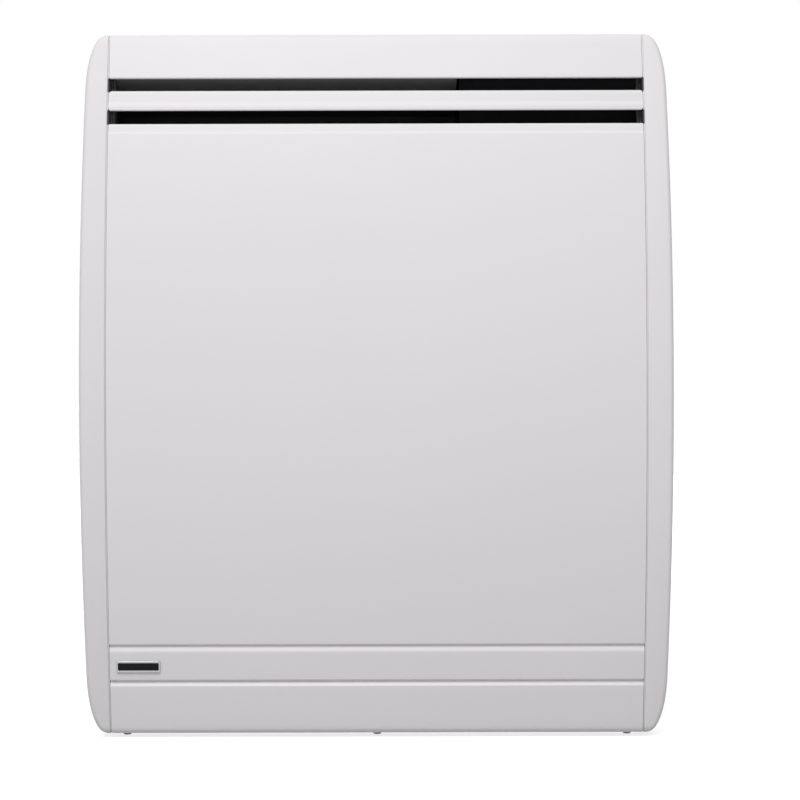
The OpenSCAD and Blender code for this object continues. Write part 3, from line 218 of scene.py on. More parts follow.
def loft(rings):
    """A solid through rings of equal numbers of points, closed by flat ends."""
    n, points = len(rings[0]), [p for ring in rings for p in ring]
    faces = [
        (j * n + i, j * n + (i + 1) % n, (j + 1) * n + (i + 1) % n, (j + 1) * n + i)
        for j in range(len(rings) - 1)
        for i in range(n)
    ]
    faces += [tuple(range(n - 1, -1, -1)), tuple(range((len(rings) - 1) * n, len(points)))]
    return Shape(points, faces)


def circle_loop(radius, sides=30, middle=(0, 0)):
    """A circle with flat sides, anticlockwise."""
    angles = (2 * math.pi * k / sides for k in range(sides))
    return [Vector(middle) + radius * Vector((math.cos(a), math.sin(a))) for a in angles]


def block_loop(w, h, radius=0.0, steps=4, middle=(0, 0)):
    """A rectangle with rounded corners, anticlockwise."""
    x, y = w / 2, h / 2
    loop = []
    for cx, cy, a0 in ((x, -y, 270), (x, y, 0), (-x, y, 90), (-x, -y, 180)):
        sx, sy = math.copysign(1, cx), math.copysign(1, cy)
        centre = Vector((middle[0] + cx - sx * radius, middle[1] + cy - sy * radius))
        for k in range(steps + 1) if radius else (0,):
            a = math.radians(a0 + 90 * k / steps)
            loop.append(centre + radius * Vector((math.cos(a), math.sin(a))))
    return loop


def lathe(profile, steps=48, wave=None):
    """A profile of (radius, height) turned round Z. wave(i, angle) may scale a radius."""
    rings = []
    for i, (r, z) in enumerate(profile):
        ring = []
        for k in range(steps):
            a = 2 * math.pi * k / steps
            reach = r * (wave(i, a) if wave else 1)
            ring.append((reach * math.cos(a), reach * math.sin(a), z))
        rings.append(ring)
    return loft(rings)


print("shape kit ready")

# %% [markdown]
# ## Shader sums
# A finish is mostly sums of noise and masks. The class below wraps one output of a node and
# overloads +, - and *, so that a line of Python reads as the formula and leaves Math nodes
# behind. Its method node() makes any other node: first its settings, then its inputs.

# %% A wrapped socket


class Wire:
    """A node's output, which can be added, subtracted and scaled."""

    def __init__(self, tree, socket=None):
        self.tree, self.socket = tree, socket

    def node(self, kind, settings=None, inputs=None, output=0):
        made = self.tree.nodes.new(kind)
        for name, value in (settings or {}).items():
            setattr(made, name, value)
        for name, value in (inputs or {}).items():
            if isinstance(value, Wire):
                self.tree.links.new(value.socket, made.inputs[name])
            else:
                made.inputs[name].default_value = value
        return Wire(self.tree, made.outputs[output])

    def maths(self, operation, a, b=0.0):
        return self.node("ShaderNodeMath", {"operation": operation}, {0: a, 1: b})

    def __add__(self, other):
        return self.maths("ADD", self, other)

    __radd__ = __add__

    def __sub__(self, other):
        return self.maths("SUBTRACT", self, other)

    def __rsub__(self, other):
        return self.maths("SUBTRACT", other, self)

    def __mul__(self, other):
        return self.maths("MULTIPLY", self, other)

    __rmul__ = __mul__

    def into(self, node, name):
        self.tree.links.new(self.socket, node.inputs[name])


def new_finish(name, **sockets):
    """A material, its shader node and a loose wire to build from."""
    finish = bpy.data.materials.new(name)
    finish.use_nodes = True
    shader = finish.node_tree.nodes["Principled BSDF"]
    for key, value in sockets.items():
        shader.inputs[key.replace("_", " ").title()].default_value = value
    return finish, shader, Wire(finish.node_tree)


def places(wire):
    """Position on the object, in metres."""
    return wire.node("ShaderNodeTexCoord", output="Object")


def noise(wire, scale, detail=2.0, roughness=0.5, stretch=None):
    """Noise between 0 and 1. Its grain is about 1 / scale metres across."""
    where = places(wire)
    if stretch:
        where = wire.node("ShaderNodeMapping", None, {"Vector": where, "Scale": stretch})
    return wire.node("ShaderNodeTexNoise", None, {
        "Vector": where, "Scale": scale, "Detail": detail, "Roughness": roughness})


def step_up(wire, value, low, high):
    """0 below low, 1 above high, and a smooth rise between."""
    return wire.node("ShaderNodeMapRange", {"interpolation_type": "SMOOTHSTEP"}, {
        "Value": value, "From Min": low, "From Max": high})


def tint(wire, factor, dark, light):
    """A colour between two, by a mask."""
    return wire.node(
        "ShaderNodeMix", {"data_type": "RGBA"}, {0: factor, 6: (*dark, 1), 7: (*light, 1)}, 2)


def relief(wire, height, shader, strength, depth):
    """Lets a height drive the shading normal. depth is in metres."""
    wire.node("ShaderNodeBump", None, {
        "Height": height, "Strength": strength, "Distance": depth}).into(shader, "Normal")


def scaled(colour, factor):
    return tuple(c * factor for c in colour)


def drifting(wire, colour, drift, scale):
    """A colour that drifts lighter and darker in broad clouds."""
    cloud = noise(wire, scale, 3.0)
    return tint(wire, cloud, scaled(colour, 1 - drift), scaled(colour, 1 + drift))


# %% [markdown]
# ## Painted and moulded finishes
# The front sheets are stove-enamelled: nearly smooth, with a fine orange peel and hardly any
# change of tone. The end caps are moulded in a white that is slightly warmer, with the even
# grain of a spark-eroded mould. Both differ in grain far more than in colour, so the work
# goes into bump and roughness, and the colour only drifts by a percent or two.

# %% Enamel and plastics


def painted(name, colour, peel=700.0, depth=0.00006, rough=0.42, drift=0.02, shine=0.25):
    """Sprayed paint: broad drift in tone, fine orange peel."""
    finish, shader, wire = new_finish(name)
    shader.inputs["Specular IOR Level"].default_value = shine
    drifting(wire, colour, drift, 5.0).into(shader, "Base Color")
    skin = noise(wire, peel, 2.0)
    (rough - 0.05 + 0.1 * noise(wire, 60.0, 4.0)).into(shader, "Roughness")
    relief(wire, skin + 0.4 * noise(wire, 4 * peel, 1.0), shader, 0.25, depth)
    return finish


def moulded(name, colour, grain=1800.0, depth=0.00005, rough=0.45, drift=0.02, coat=0.0,
            shine=0.3):
    """Moulded plastic: an even fine grain and a little handling shine."""
    finish, shader, wire = new_finish(name, coat_weight=coat, coat_roughness=0.12)
    shader.inputs["Specular IOR Level"].default_value = shine
    drifting(wire, colour, drift, 9.0).into(shader, "Base Color")
    worn = step_up(wire, noise(wire, 35.0, 5.0), 0.55, 0.75)
    (rough - 0.08 * worn + 0.05 * noise(wire, 300.0)).into(shader, "Roughness")
    pits = wire.node("ShaderNodeTexVoronoi", None, {
        "Vector": places(wire), "Scale": grain})
    relief(wire, noise(wire, grain, 2.0) + 0.5 * pits, shader, 0.3, depth)
    return finish


def shade_darkened(name, colour, low, high, share):
    """Dark heat-proof coating, with painted shade below a height in metres."""
    finish, shader, wire = new_finish(name, roughness=0.62)
    shader.inputs["Specular IOR Level"].default_value = 0.12
    level = wire.node("ShaderNodeSeparateXYZ", None, {0: places(wire)}, 2)
    # The mask is 1 above the height and 0 below it, where the colour drops to painted shade.
    unshaded = step_up(wire, level + 0.004 * noise(wire, 40.0, 3.0), low, high)
    tint(wire, unshaded, scaled(colour, share), colour).into(shader, "Base Color")
    relief(wire, noise(wire, 500.0, 2.0), shader, 0.25, 0.0001)
    return finish


# %% [markdown]
# ## Bare metals and small materials
# Zinc-coated sheet shows spangles, patches of crystal that each catch the light their own
# way: a Voronoi pattern with one random value per cell makes them. The casing's inside is
# painted near black, as painted shade for the unlit hollow behind the slots. The place of a
# point on the object tells which side it is on: each pair of metres below is where the outer
# side begins to show and where it shows in full. Rolled and drawn metals show fine lines along
# the direction in which they were pulled, so their noise is stretched fortyfold along one axis.
# Copper and brass also tarnish in soft clouds.

# %% Metals
CASE_FLANK = 0.2119, 0.21195
CASE_BACK = -0.0176, -0.0174
CASE_FOOT = 0.2792, 0.2794
ZINC_METALLIC, CRYSTALS = 0.85, 120.0


def outer_side(wire):
    """1 on the casing's back, flanks and foot, 0 on its inside, by place in metres."""
    x, y, z = (wire.node("ShaderNodeSeparateXYZ", None, {0: places(wire)}, i) for i in range(3))
    flank = step_up(wire, wire.maths("ABSOLUTE", x), *CASE_FLANK)
    back = step_up(wire, y, *CASE_BACK)
    foot = step_up(wire, 0.0 - z, *CASE_FOOT)
    return wire.maths("MINIMUM", flank + back + foot, 1.0)


def spangled(name, colour, inside_shade=None):
    """Zinc-coated sheet: crystals a few millimetres across, each with its own tone."""
    finish, shader, wire = new_finish(name, metallic=ZINC_METALLIC)
    wavy = wire.node("ShaderNodeVectorMath", {"operation": "ADD"}, {
        0: places(wire),
        1: wire.node("ShaderNodeVectorMath", {"operation": "SCALE"}, {
            0: wire.node("ShaderNodeTexNoise", None, {
                "Vector": places(wire), "Scale": 90.0}, "Color"),
            "Scale": 0.006})})
    crystal = wire.node("ShaderNodeTexVoronoi", None, {
        "Vector": wavy, "Scale": CRYSTALS}, "Color")
    tone = wire.node("ShaderNodeSeparateColor", None, {"Color": crystal}, 0)
    face = tint(wire, tone, scaled(colour, 0.86), scaled(colour, 1.08))
    rough = 0.36 + 0.16 * tone + 0.08 * noise(wire, 700.0)
    # An inside colour, if given, is painted shade: the casing's inside takes it in place of
    # zinc.
    if inside_shade:
        outside = outer_side(wire)
        (ZINC_METALLIC * outside).into(shader, "Metallic")
        rough = rough + 0.25 * (1 - outside)
        face = wire.node(
            "ShaderNodeMix", {"data_type": "RGBA"}, {0: outside, 6: (*inside_shade, 1), 7: face}, 2)
    face.into(shader, "Base Color")
    rough.into(shader, "Roughness")
    relief(wire, tone + 0.3 * noise(wire, 900.0), shader, 0.12, 0.00005)
    return finish


def drawn_metal(name, colour, rough, along=(1, 40, 40), tarnish=0.0):
    """Rolled or drawn metal: fine lines along one axis, and clouds of tarnish."""
    finish, shader, wire = new_finish(name, metallic=1.0)
    lines = noise(wire, 90.0, 3.0, 0.6, stretch=along)
    cloud = step_up(wire, noise(wire, 70.0, 4.0), 0.4, 0.75)
    dulled = tuple(c * (1 - tarnish) * f for c, f in zip(colour, (0.9, 0.8, 0.7)))
    mask = cloud * (0.8 if tarnish else 0.15)
    worn = dulled if tarnish else scaled(colour, 0.85)
    tint(wire, mask, colour, worn).into(shader, "Base Color")
    (rough - 0.06 + 0.14 * lines + 0.12 * mask).into(shader, "Roughness")
    relief(wire, lines, shader, 0.15, 0.00003)
    return finish


def fired_clay(name, colour):
    """Unglazed ceramic: chalky, with fine pores and a few darker specks."""
    finish, shader, wire = new_finish(name, roughness=0.75)
    speck = step_up(wire, noise(wire, 1500.0, 3.0), 0.62, 0.72)
    tint(wire, speck, colour, scaled(colour, 0.75)).into(shader, "Base Color")
    relief(wire, noise(wire, 2500.0, 3.0), shader, 0.4, 0.00006)
    return finish


# %% [markdown]
# ## The palette
# Each entry is one finish and the name of the slot in the record that it stands for, so that
# a scene that repaints a slot finds every piece of it. The whites carry a trace of magenta,
# which is what the photograph shows on the enamel.

# %% Palette
LOOKS = {
    "white_paint": painted("white enamel", (0.800, 0.775, 0.802)),
    "cap_white": moulded("white moulding", (0.782, 0.762, 0.779), shine=0.1),
    "bracket_paint": painted(
        "bracket powder coat", (0.70, 0.70, 0.70), peel=350.0, depth=0.00015, rough=0.5),
    "zinc_steel": spangled("zinc-coated sheet", (0.62, 0.63, 0.65)),
    "dark_steel": painted(
        "dark heat-proof coating", (0.11, 0.11, 0.113), peel=500.0, depth=0.0001, rough=0.6,
        drift=0.12, shine=0.15),
    "spring_steel": drawn_metal("spring steel", (0.55, 0.55, 0.56), 0.28, along=(40, 40, 1)),
    "screw_steel": drawn_metal(
        "blackened screws", (0.15, 0.15, 0.155), 0.42, along=(20, 20, 20)),
    "element_aluminium": drawn_metal(
        "fin aluminium", (0.74, 0.74, 0.75), 0.34, along=(40, 1, 1)),
    "element_steel": drawn_metal("heat-tinted sheath", (0.46, 0.42, 0.38), 0.4, tarnish=0.35),
    "white_ceramic": fired_clay("unglazed ceramic", (0.82, 0.79, 0.71)),
    "black_plastic": moulded(
        "black moulding", (0.008, 0.008, 0.009), grain=900.0, depth=0.00012, rough=0.7,
        drift=0.2, shine=0.06),
    "fascia_grey": moulded(
        "dark grey moulding", (0.055, 0.055, 0.06), grain=1100.0, depth=0.0001, rough=0.48,
        drift=0.12),
    "knob_white": moulded(
        "knob moulding", (0.78, 0.77, 0.765), grain=2200.0, depth=0.00003, rough=0.3,
        drift=0.015, coat=0.3),
    "thermostat_resin": moulded(
        "cream resin", (0.55, 0.5, 0.38), grain=1300.0, depth=0.00008, rough=0.5, drift=0.06),
    "rocker_red": moulded(
        "red moulding", (0.5, 0.02, 0.015), grain=2500.0, depth=0.00002, rough=0.22,
        drift=0.05, coat=0.5),
    "lamp_amber": moulded(
        "amber lens", (0.8, 0.22, 0.02), grain=2500.0, depth=0.00002, rough=0.12, drift=0.06,
        coat=0.8),
    "copper": drawn_metal(
        "drawn copper", (0.78, 0.4, 0.25), 0.3, along=(30, 30, 1), tarnish=0.3),
    "brass": drawn_metal(
        "turned brass", (0.78, 0.6, 0.28), 0.28, along=(20, 1, 20), tarnish=0.2),
    "block_white": moulded(
        "terminal moulding", (0.72, 0.71, 0.64), grain=1200.0, depth=0.00008, rough=0.5,
        drift=0.04),
    "wire_white": moulded(
        "silicone sleeve", (0.68, 0.67, 0.63), grain=700.0, depth=0.0001, rough=0.55,
        drift=0.06),
    "badge_chrome": drawn_metal(
        "chrome edging", (0.42, 0.42, 0.43), 0.25, along=(30, 30, 30)),
    "badge_black": moulded(
        "black badge field", (0.01, 0.01, 0.012), grain=2500.0, depth=0.00002, rough=0.35,
        drift=0.3, shine=0.1),
}
OTHER_LOOKS = {
    # The deflector's lower part is painted darker, as painted shade deep behind the lower slot.
    "air_deflector": shade_darkened(
        "smoked coating", (0.2, 0.2, 0.205), low=0.226, high=0.238, share=0.23),
    # The casing's near-black inside is painted shade for the unlit hollow behind the slots.
    "rear_casing": spangled(
        "zinc sheet with painted inside shade", (0.62, 0.63, 0.65), inside_shade=(0.012, 0.012, 0.013)),
}
print("finishes:", len(LOOKS) + len(OTHER_LOOKS))

# %% [markdown]
# ## From shape to piece
# A piece needs a mesh, smooth shading that breaks at its sharp edges, a material, a body to
# ride on and the name of the plain solid that it stands for. One function does it all, so no
# piece can miss a step.

# %% Pieces
SHARP_FROM, BEVEL_FROM = math.radians(35), math.radians(40)


def piece(name, shape, body, slot_name, stands_for=(), bevel=0.0):
    """Makes one finished piece and hangs it on its body."""
    obj = new_object(name, mesh_of(shape, name))
    if bevel:
        rim = obj.modifiers.new("rim", "BEVEL")
        rim.width, rim.segments = bevel * MM, 2
        rim.limit_method, rim.angle_limit = "ANGLE", BEVEL_FROM
        obj.data = applied(obj)
        obj.modifiers.clear()
        obj.data.name = name
    obj.data.polygons.foreach_set("use_smooth", [True] * len(obj.data.polygons))
    obj.data.set_sharp_from_angle(angle=SHARP_FROM)
    obj.data.materials.clear()
    obj.data.materials.append(LOOKS[slot_name])
    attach(obj, body)
    if stands_for:
        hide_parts(*stands_for)
    print(f"{name}: {len(obj.data.polygons)} faces")


# %% [markdown]
# ## The plain solids keep their place
# Solids whose shape is already right stay in view and only change their finish. The record
# says which slot each one belongs to, so one loop dresses them all before the finer pieces
# come.

# %% Dress the carried-over nodes
for row in frame["record"]["subparts"]:
    solid = frame["nodes"][row["node"]]
    solid.data.materials.clear()
    solid.data.materials.append(OTHER_LOOKS.get(row["node"]) or LOOKS[row["material_slot"]])

# %% [markdown]
# ## The bow of the front
# Seen from the side, the front is one arc of a metre's radius. Every front sheet is drawn as
# points at a height and a depth behind that arc, so the helpers below turn (height, depth)
# into the side view's y and z. The same few sizes place every edge of the front.

# %% The front's arc
WIDTH, HEIGHT, CROWN, WALL_GAP = 470.0, 562.0, 120.0, 17.0
ARC_R = 1000.0
ARC_Y = ARC_R - CROWN
SHEET, CAP_W, CASE_GAP = 1.2, 21.5, 1.5
HALF_H = HEIGHT / 2
HALF_PANEL = WIDTH / 2 - CAP_W
HALF_CASE = HALF_PANEL - CASE_GAP
BACK = -WALL_GAP
HOOD_FACE, UPPER_SLOT, BLADE_H, LOWER_SLOT, STRIP_H = 36.0, 10.5, 16.0, 11.0, 8.0
HOOD_FOOT = HALF_H - HOOD_FACE
BLADE_TOP = HOOD_FOOT - UPPER_SLOT
BLADE_FOOT = BLADE_TOP - BLADE_H
PANEL_TOP = BLADE_FOOT - LOWER_SLOT
STRIP_FOOT = PANEL_TOP - STRIP_H
STRIP_SET, SLOPE = 1.2, 1.4
GROOVES = (-236.5, -207.5)


def face_at(z, depth=0.0):
    """Side-view point at a depth behind the face, on the arc's radius through z."""
    a = math.asin(z / ARC_R)
    r = ARC_R - depth
    return ARC_Y - r * math.cos(a), r * math.sin(a)


def face_y(z, depth=0.0):
    return ARC_Y - math.sqrt((ARC_R - depth) ** 2 - z * z)


def on_arc(z0, z1, depth=0.0, step=4.0):
    """Plain corners along the face from one height to another."""
    n = max(1, round(abs(z1 - z0) / step))
    return [(*face_at(z0 + (z1 - z0) * i / n, depth), 0) for i in range(n + 1)]


def lip(edge, direction, radius, flange, depth=0.0, lean=0.0):
    """The sharp corner and the flange's end where a face turns back at height edge."""
    bend_y = face_y(edge - direction * radius, depth + radius)
    corner = (face_y(edge, depth), edge, radius)
    end = (bend_y + flange, edge - direction * lean, 0)
    return (corner, end) if direction > 0 else (end, corner)


print("crown to wall", round(-face_y(0)), "mm, hood edge at", round(face_y(HALF_H), 1))

# %% [markdown]
# ## The main panel
# One sheet of 1.2 mm steel: turned back along its foot, pressed with two sloping grooves that
# frame the badge strip, set back by a millimetre along its top edge, and turned back again.
# The lower groove has a shoulder, so its slope is shorter, steeper and brighter. The top edge
# turns into the outlet slot. Drawing its side view once and pushing it along the width gives
# every highlight of the real sheet, because each bend has its true radius. The returns at its
# two ends are a second shape behind the first.

# %% Main panel
GROOVE_H, GROOVE_STEEP, GROOVE_DEEP = 6.5, 1.5, 2.5
BELOW_GROOVE, ABOVE_GROOVE = GROOVE_H + 4, 3
TOP_BEND, TOP_FLANGE, TOP_CLEAR = 2.0, 10.0, 3.2
RETURN_DEEP = 13.4


def groove(z, drop, bend, shoulder=()):
    """A pressed groove below height z, steep above and sloping below, softly rounded."""
    return [
        (*face_at(z - drop), bend),
        *((*face_at(z - below, deep), 1.2) for below, deep in shoulder),
        (*face_at(z - GROOVE_STEEP, GROOVE_DEEP), 0.6),
        (*face_at(z), 0.6),
    ]


def front_loop(corners):
    return sheet_loop(corners, -SHEET)


def end_returns(z0, z1, gap):
    """The flanges that turn back at both ends of a front sheet, a gap behind its face."""
    loop = [Vector(p[:2]) for p in on_arc(z0, z1, gap) + on_arc(z1, z0, RETURN_DEEP)]
    return prism(loop, HALF_PANEL - SHEET - 0.1, HALF_PANEL - 0.1).both_sides()


panel_corners = [
    *lip(-HALF_H, -1, radius=6.5, flange=20.5),
    *on_arc(-HALF_H + 10.5, GROOVES[0] - BELOW_GROOVE),
    *groove(GROOVES[0], drop=5.2, bend=1.5, shoulder=[(2.9, 1.9)]),
    *on_arc(GROOVES[0] + ABOVE_GROOVE, GROOVES[1] - BELOW_GROOVE),
    *groove(GROOVES[1], drop=5.8, bend=4.5),
    *on_arc(GROOVES[1] + ABOVE_GROOVE, STRIP_FOOT - 2),
    (*face_at(STRIP_FOOT), 0.8),
    (*face_at(STRIP_FOOT + SLOPE, STRIP_SET), 0.8),
    *on_arc(STRIP_FOOT + SLOPE + 1, PANEL_TOP - TOP_CLEAR, STRIP_SET),
    *lip(PANEL_TOP, 1, TOP_BEND, TOP_FLANGE, STRIP_SET),
]


def front_window(z0, z1, radius):
    """A block, deeper than the heater, that rounds a sheet's corners in front view."""
    outline = block_loop(2 * HALF_PANEL, z1 - z0, radius, 6, (0, (z0 + z1) / 2))
    return prism(outline, -CROWN - 10, 20.0, "Y")


panel_shape = prism(front_loop(panel_corners), -HALF_PANEL, HALF_PANEL, edge=0.5)
SHEET_CORNER = 1.6
panel_window = front_window(-HALF_H - 20, PANEL_TOP, SHEET_CORNER)
panel_shape = carved(panel_shape, panel_window, "INTERSECT")
panel_shape = panel_shape + end_returns(-HALF_H + 8, PANEL_TOP - 5, gap=3.8)
piece("panel_sheet", panel_shape, "heater", "white_paint", ["front_panel"])

# %% [markdown]
# ## The blade between the slots
# A narrow strip splits the outlet in two. Its lower half stands proud and its upper half is
# set back. The step between them is a long soft slope, so it catches a broad band of light.
# Its four corners are rounded in front view, which a boolean with a rounded block gives in one
# cut.

# %% Outlet blade
STEP_Z, STEP_H = BLADE_FOOT + 7.2, 3.2
HEM_DROP, HEM_BEND, HEM_FLANGE = 0.6, 0.9, 11.1
BLADE_HEM, BLADE_CORNER = BLADE_FOOT - HEM_DROP, 3.0
blade_corners = [
    *lip(BLADE_HEM, -1, HEM_BEND, HEM_FLANGE, lean=1.3),
    *on_arc(BLADE_FOOT + 2.3, BLADE_FOOT + 2.9),
    (*face_at(STEP_Z - STEP_H), 4.0),
    (*face_at(STEP_Z, STRIP_SET), 1.6),
    *on_arc(STEP_Z + 1.2, BLADE_TOP - TOP_CLEAR, STRIP_SET),
    *lip(BLADE_TOP, 1, TOP_BEND, TOP_FLANGE, STRIP_SET),
]
blade_shape = carved(
    prism(front_loop(blade_corners), -HALF_PANEL - 1, HALF_PANEL + 1),
    front_window(BLADE_HEM, BLADE_TOP, BLADE_CORNER), "INTERSECT")
piece("blade_sheet", blade_shape, "heater", "white_paint", ["outlet_blade"], bevel=0.25)

# %% [markdown]
# ## The hood
# The hood closes the top: a short face above the upper slot, a bend of 6 mm, the flat top and
# a flange behind. The controls look out through a window in the flat. A press would cut it
# before the sheet is bent, but after it the cut is one simple block.

# %% Hood
CTRL_MID, CTRL_Y = 138.2, -50.33
WINDOW_W, WINDOW_D = 124.0, 42.0
HOOD_HEM, HOOD_BEND, REAR_BEND, REAR_FLANGE = HOOD_FOOT - HEM_DROP, 6.0, 2.5, 18.0
hood_corners = [
    *lip(HOOD_HEM, -1, HEM_BEND, HEM_FLANGE, lean=0.9),
    *on_arc(HOOD_FOOT + 2.0, HALF_H - 9.0),
    (face_y(HALF_H), HALF_H, HOOD_BEND),
    (BACK + SHEET, HALF_H, REAR_BEND),
    (BACK + SHEET, HALF_H - REAR_FLANGE, 0),
]
hood_shape = prism(front_loop(hood_corners), -HALF_PANEL, HALF_PANEL, edge=0.5)
hood_window = front_window(HOOD_HEM, HALF_H + 20, SHEET_CORNER)
hood_shape = carved(hood_shape, hood_window, "INTERSECT")
control_outline = block_loop(WINDOW_W, WINDOW_D, 1.0, 3, (CTRL_MID, CTRL_Y))
hood_shape = carved(hood_shape, prism(control_outline, HALF_H - 5, HALF_H + 3, "Z"))
hood_shape = hood_shape + end_returns(HOOD_FOOT + 4, HALF_H - 7, gap=1.0)
piece("hood_sheet", hood_shape, "heater", "white_paint", ["top_hood"])

# %% [markdown]
# ## The end caps
# Each cap is a hollow moulding: its front follows the bow, its outer side bows in slightly
# towards its ends, and the two outer corners are a little fuller than quarter ellipses. A
# loft through level sections draws that outside in one go. The hollow is a smaller loft taken
# away from it, and ribs with screw bosses stay inside, which show from behind. A thin ledge
# behind the front edge closes the seam to the panel, so the gap reads as a soft grey line and
# not as a black slit.

# %% Cap sections
CAP_X = HALF_PANEL + 1.0
CORNER_W, CORNER_H, CORNER_POWER, SIDE_BOW = 15.0, 48.0, 2.25, 3.5
CORNER_Z = HALF_H - CORNER_H
END_R, SIDE_R, SEAM_R = 5.0, 4.0, 0.9


def cap_side(z):
    """The cap's outer side at height z."""
    u = min(1.0, max(0.0, (abs(z) - CORNER_Z) / CORNER_H))
    fullness = (1 - u ** CORNER_POWER) ** (1 / CORNER_POWER)
    return WIDTH / 2 - SIDE_BOW * (z / HALF_H) ** 2 - CORNER_W * (1 - fullness)


def cap_front(z):
    """The cap's front at height z, rounded at its upper and lower ends."""
    u = max(0.0, abs(z) - (HALF_H - END_R))
    return face_y(z) + END_R - math.sqrt(max(0.0, END_R ** 2 - u * u))


def cap_ring(z, inset=0.0, x_in=CAP_X, y_back=BACK):
    """A level section of the cap, or of its hollow where inset isn't 0."""
    x = max(cap_side(z) - inset, x_in + 1.0)
    y = cap_front(z) + inset
    r, seam_r = min(SIDE_R, 0.6 * (x - x_in)), min(SEAM_R, 0.3 * (x - x_in))
    level = z * (HALF_H - inset) / HALF_H
    ring = [(x_in, y_back, level)]
    for i in range(5):
        a = math.radians(90 * i / 4)
        ring.append((x_in + seam_r * (1 - math.cos(a)), y + seam_r * (1 - math.sin(a)), level))
    for i in range(9):
        a = math.radians(90 * i / 8)
        ring.append((x - r + r * math.sin(a), y + r - r * math.cos(a), level))
    ring.append((x, y_back, level))
    return ring


heights = [CORNER_Z + CORNER_H * math.sin(math.radians(90 * i / 20)) for i in range(21)]
cap_heights = [-z for z in reversed(heights)]
cap_heights += [CORNER_Z * (i / 12 - 1) for i in range(1, 24)] + heights
print("cap sections:", len(cap_heights), "of", len(cap_ring(0.0)), "points")

# %% [markdown]
# The mouth of the cap, which faces the casing, is open behind a return of 16 mm. Its cutter
# is a slab whose front follows the same arc, 16 mm deeper.

# %% Cap solids
CAP_T, MOUTH_DEEP = 2.5, 16.0
cap_shape = loft([cap_ring(z) for z in cap_heights])
hollow = loft([cap_ring(z, CAP_T, CAP_X + CAP_T, BACK + 1.0) for z in cap_heights])
mouth_h = HALF_H - CAP_T
mouth_side = [Vector(p[:2]) for p in on_arc(-mouth_h, mouth_h, MOUTH_DEEP, 14.0)]
mouth_side += [Vector((BACK + 1, mouth_h)), Vector((BACK + 1, -mouth_h))]
mouth = prism(mouth_side, CAP_X - 1.0, CAP_X + 3.0)
cap_shape = carved(carved(cap_shape, hollow), mouth)

RIB_T = 1.8
BOSS_Y, BOSS_ZS, BOSS_R, BOSS_BORE = -46.0, (-190.0, 0.0, 190.0), 4.0, 1.8
for z in BOSS_ZS:
    side = cap_side(z) - 1.5
    rib_front, rib_back = face_y(z) + 1.2, BACK - 0.5
    rib = block_loop(rib_back - rib_front, RIB_T, 0.0, 1, ((rib_back + rib_front) / 2, z))
    cap_shape = cap_shape + prism(rib, CAP_X + 0.3, side, "X", 0.3)
    boss = lathe([(BOSS_BORE, HALF_CASE), (BOSS_R - 0.3, HALF_CASE), (BOSS_R, HALF_CASE + 0.3),
                  (BOSS_R + 0.4, side), (BOSS_BORE, side)], 32)
    cap_shape = cap_shape + boss.turned(90, "Y").at(0, BOSS_Y, z)

# %% [markdown]
# The ledge runs along the seam in three lengths, and leaves the slots' ends open between them.

# %% Seam ledge
LEDGE_SET, LEDGE_T, LEDGE_STEP = 1.3, 2.4, 8.0
ledge_y, ledge_z = face_y(HALF_H, LEDGE_SET), HALF_H - LEDGE_SET
ledge_foot = [(-60.0, -ledge_z, 0), (ledge_y, -ledge_z, 4.0)]
ledge_top = [(ledge_y, ledge_z, 5.0), (BACK - 5, ledge_z, 0)]
for corners in (
    ledge_foot + on_arc(-HALF_H + 9, PANEL_TOP - 0.4, LEDGE_SET, LEDGE_STEP),
    on_arc(BLADE_FOOT + 0.4, BLADE_TOP - 0.4, LEDGE_SET, LEDGE_STEP),
    on_arc(HOOD_FOOT + 0.4, HALF_H - 9, LEDGE_SET, LEDGE_STEP) + ledge_top,
):
    cap_shape = cap_shape + prism(sheet_loop(corners, -LEDGE_T), CAP_X - 0.75, CAP_X + 1.0)
piece("right_cap", cap_shape, "heater", "cap_white", ["right_end_cap"])
piece("left_cap", cap_shape.mirrored(), "heater", "cap_white", ["left_end_cap"])

# %% [markdown]
# Dark angles on the caps close the ends of the slots. Each fills the seam beside a slot and
# turns in behind it, up to the casing. Behind the ledge they reach past the slot, so that no
# light comes round them from any side.

# %% Slot end angles
ANGLE_T, ANGLE_DEEP, ANGLE_PAST, ANGLE_LAP = 1.2, 16.0, 4.5, 0.8
LEDGE_BACK = LEDGE_SET + LEDGE_T + 0.1


def slot_band(z0, z1, near, far, x0, x1):
    """A band between two heights and two depths behind the face."""
    outline = on_arc(z0, z1, near, 3.0) + on_arc(z1, z0, far, 3.0)
    return prism([Vector(p[:2]) for p in outline], x0, x1)


angles = Shape()
for low, high in ((PANEL_TOP, BLADE_FOOT), (BLADE_TOP, HOOD_FOOT)):
    beside, past = (low - 0.3, high + 0.3), (low - ANGLE_PAST, high + ANGLE_PAST)
    angles = angles + slot_band(*beside, 2.0, 4.0, CAP_X - ANGLE_LAP, CAP_X)
    angles = angles + slot_band(*past, LEDGE_BACK, ANGLE_DEEP, CAP_X - ANGLE_LAP, CAP_X)
    angles = angles + slot_band(
        *past, ANGLE_DEEP - ANGLE_T, ANGLE_DEEP, HALF_CASE + 0.1, CAP_X - 0.7)
piece("slot_angles", angles.both_sides(), "heater", "dark_steel", ["slot_end_plates"])

# %% [markdown]
# ## Screws
# All screws are the same blackened pan head with a cross recess. The head is turned on a
# lathe, the recess is cut once by a tapered cross, and the finished screw is then copied to
# every place where the solids have one.

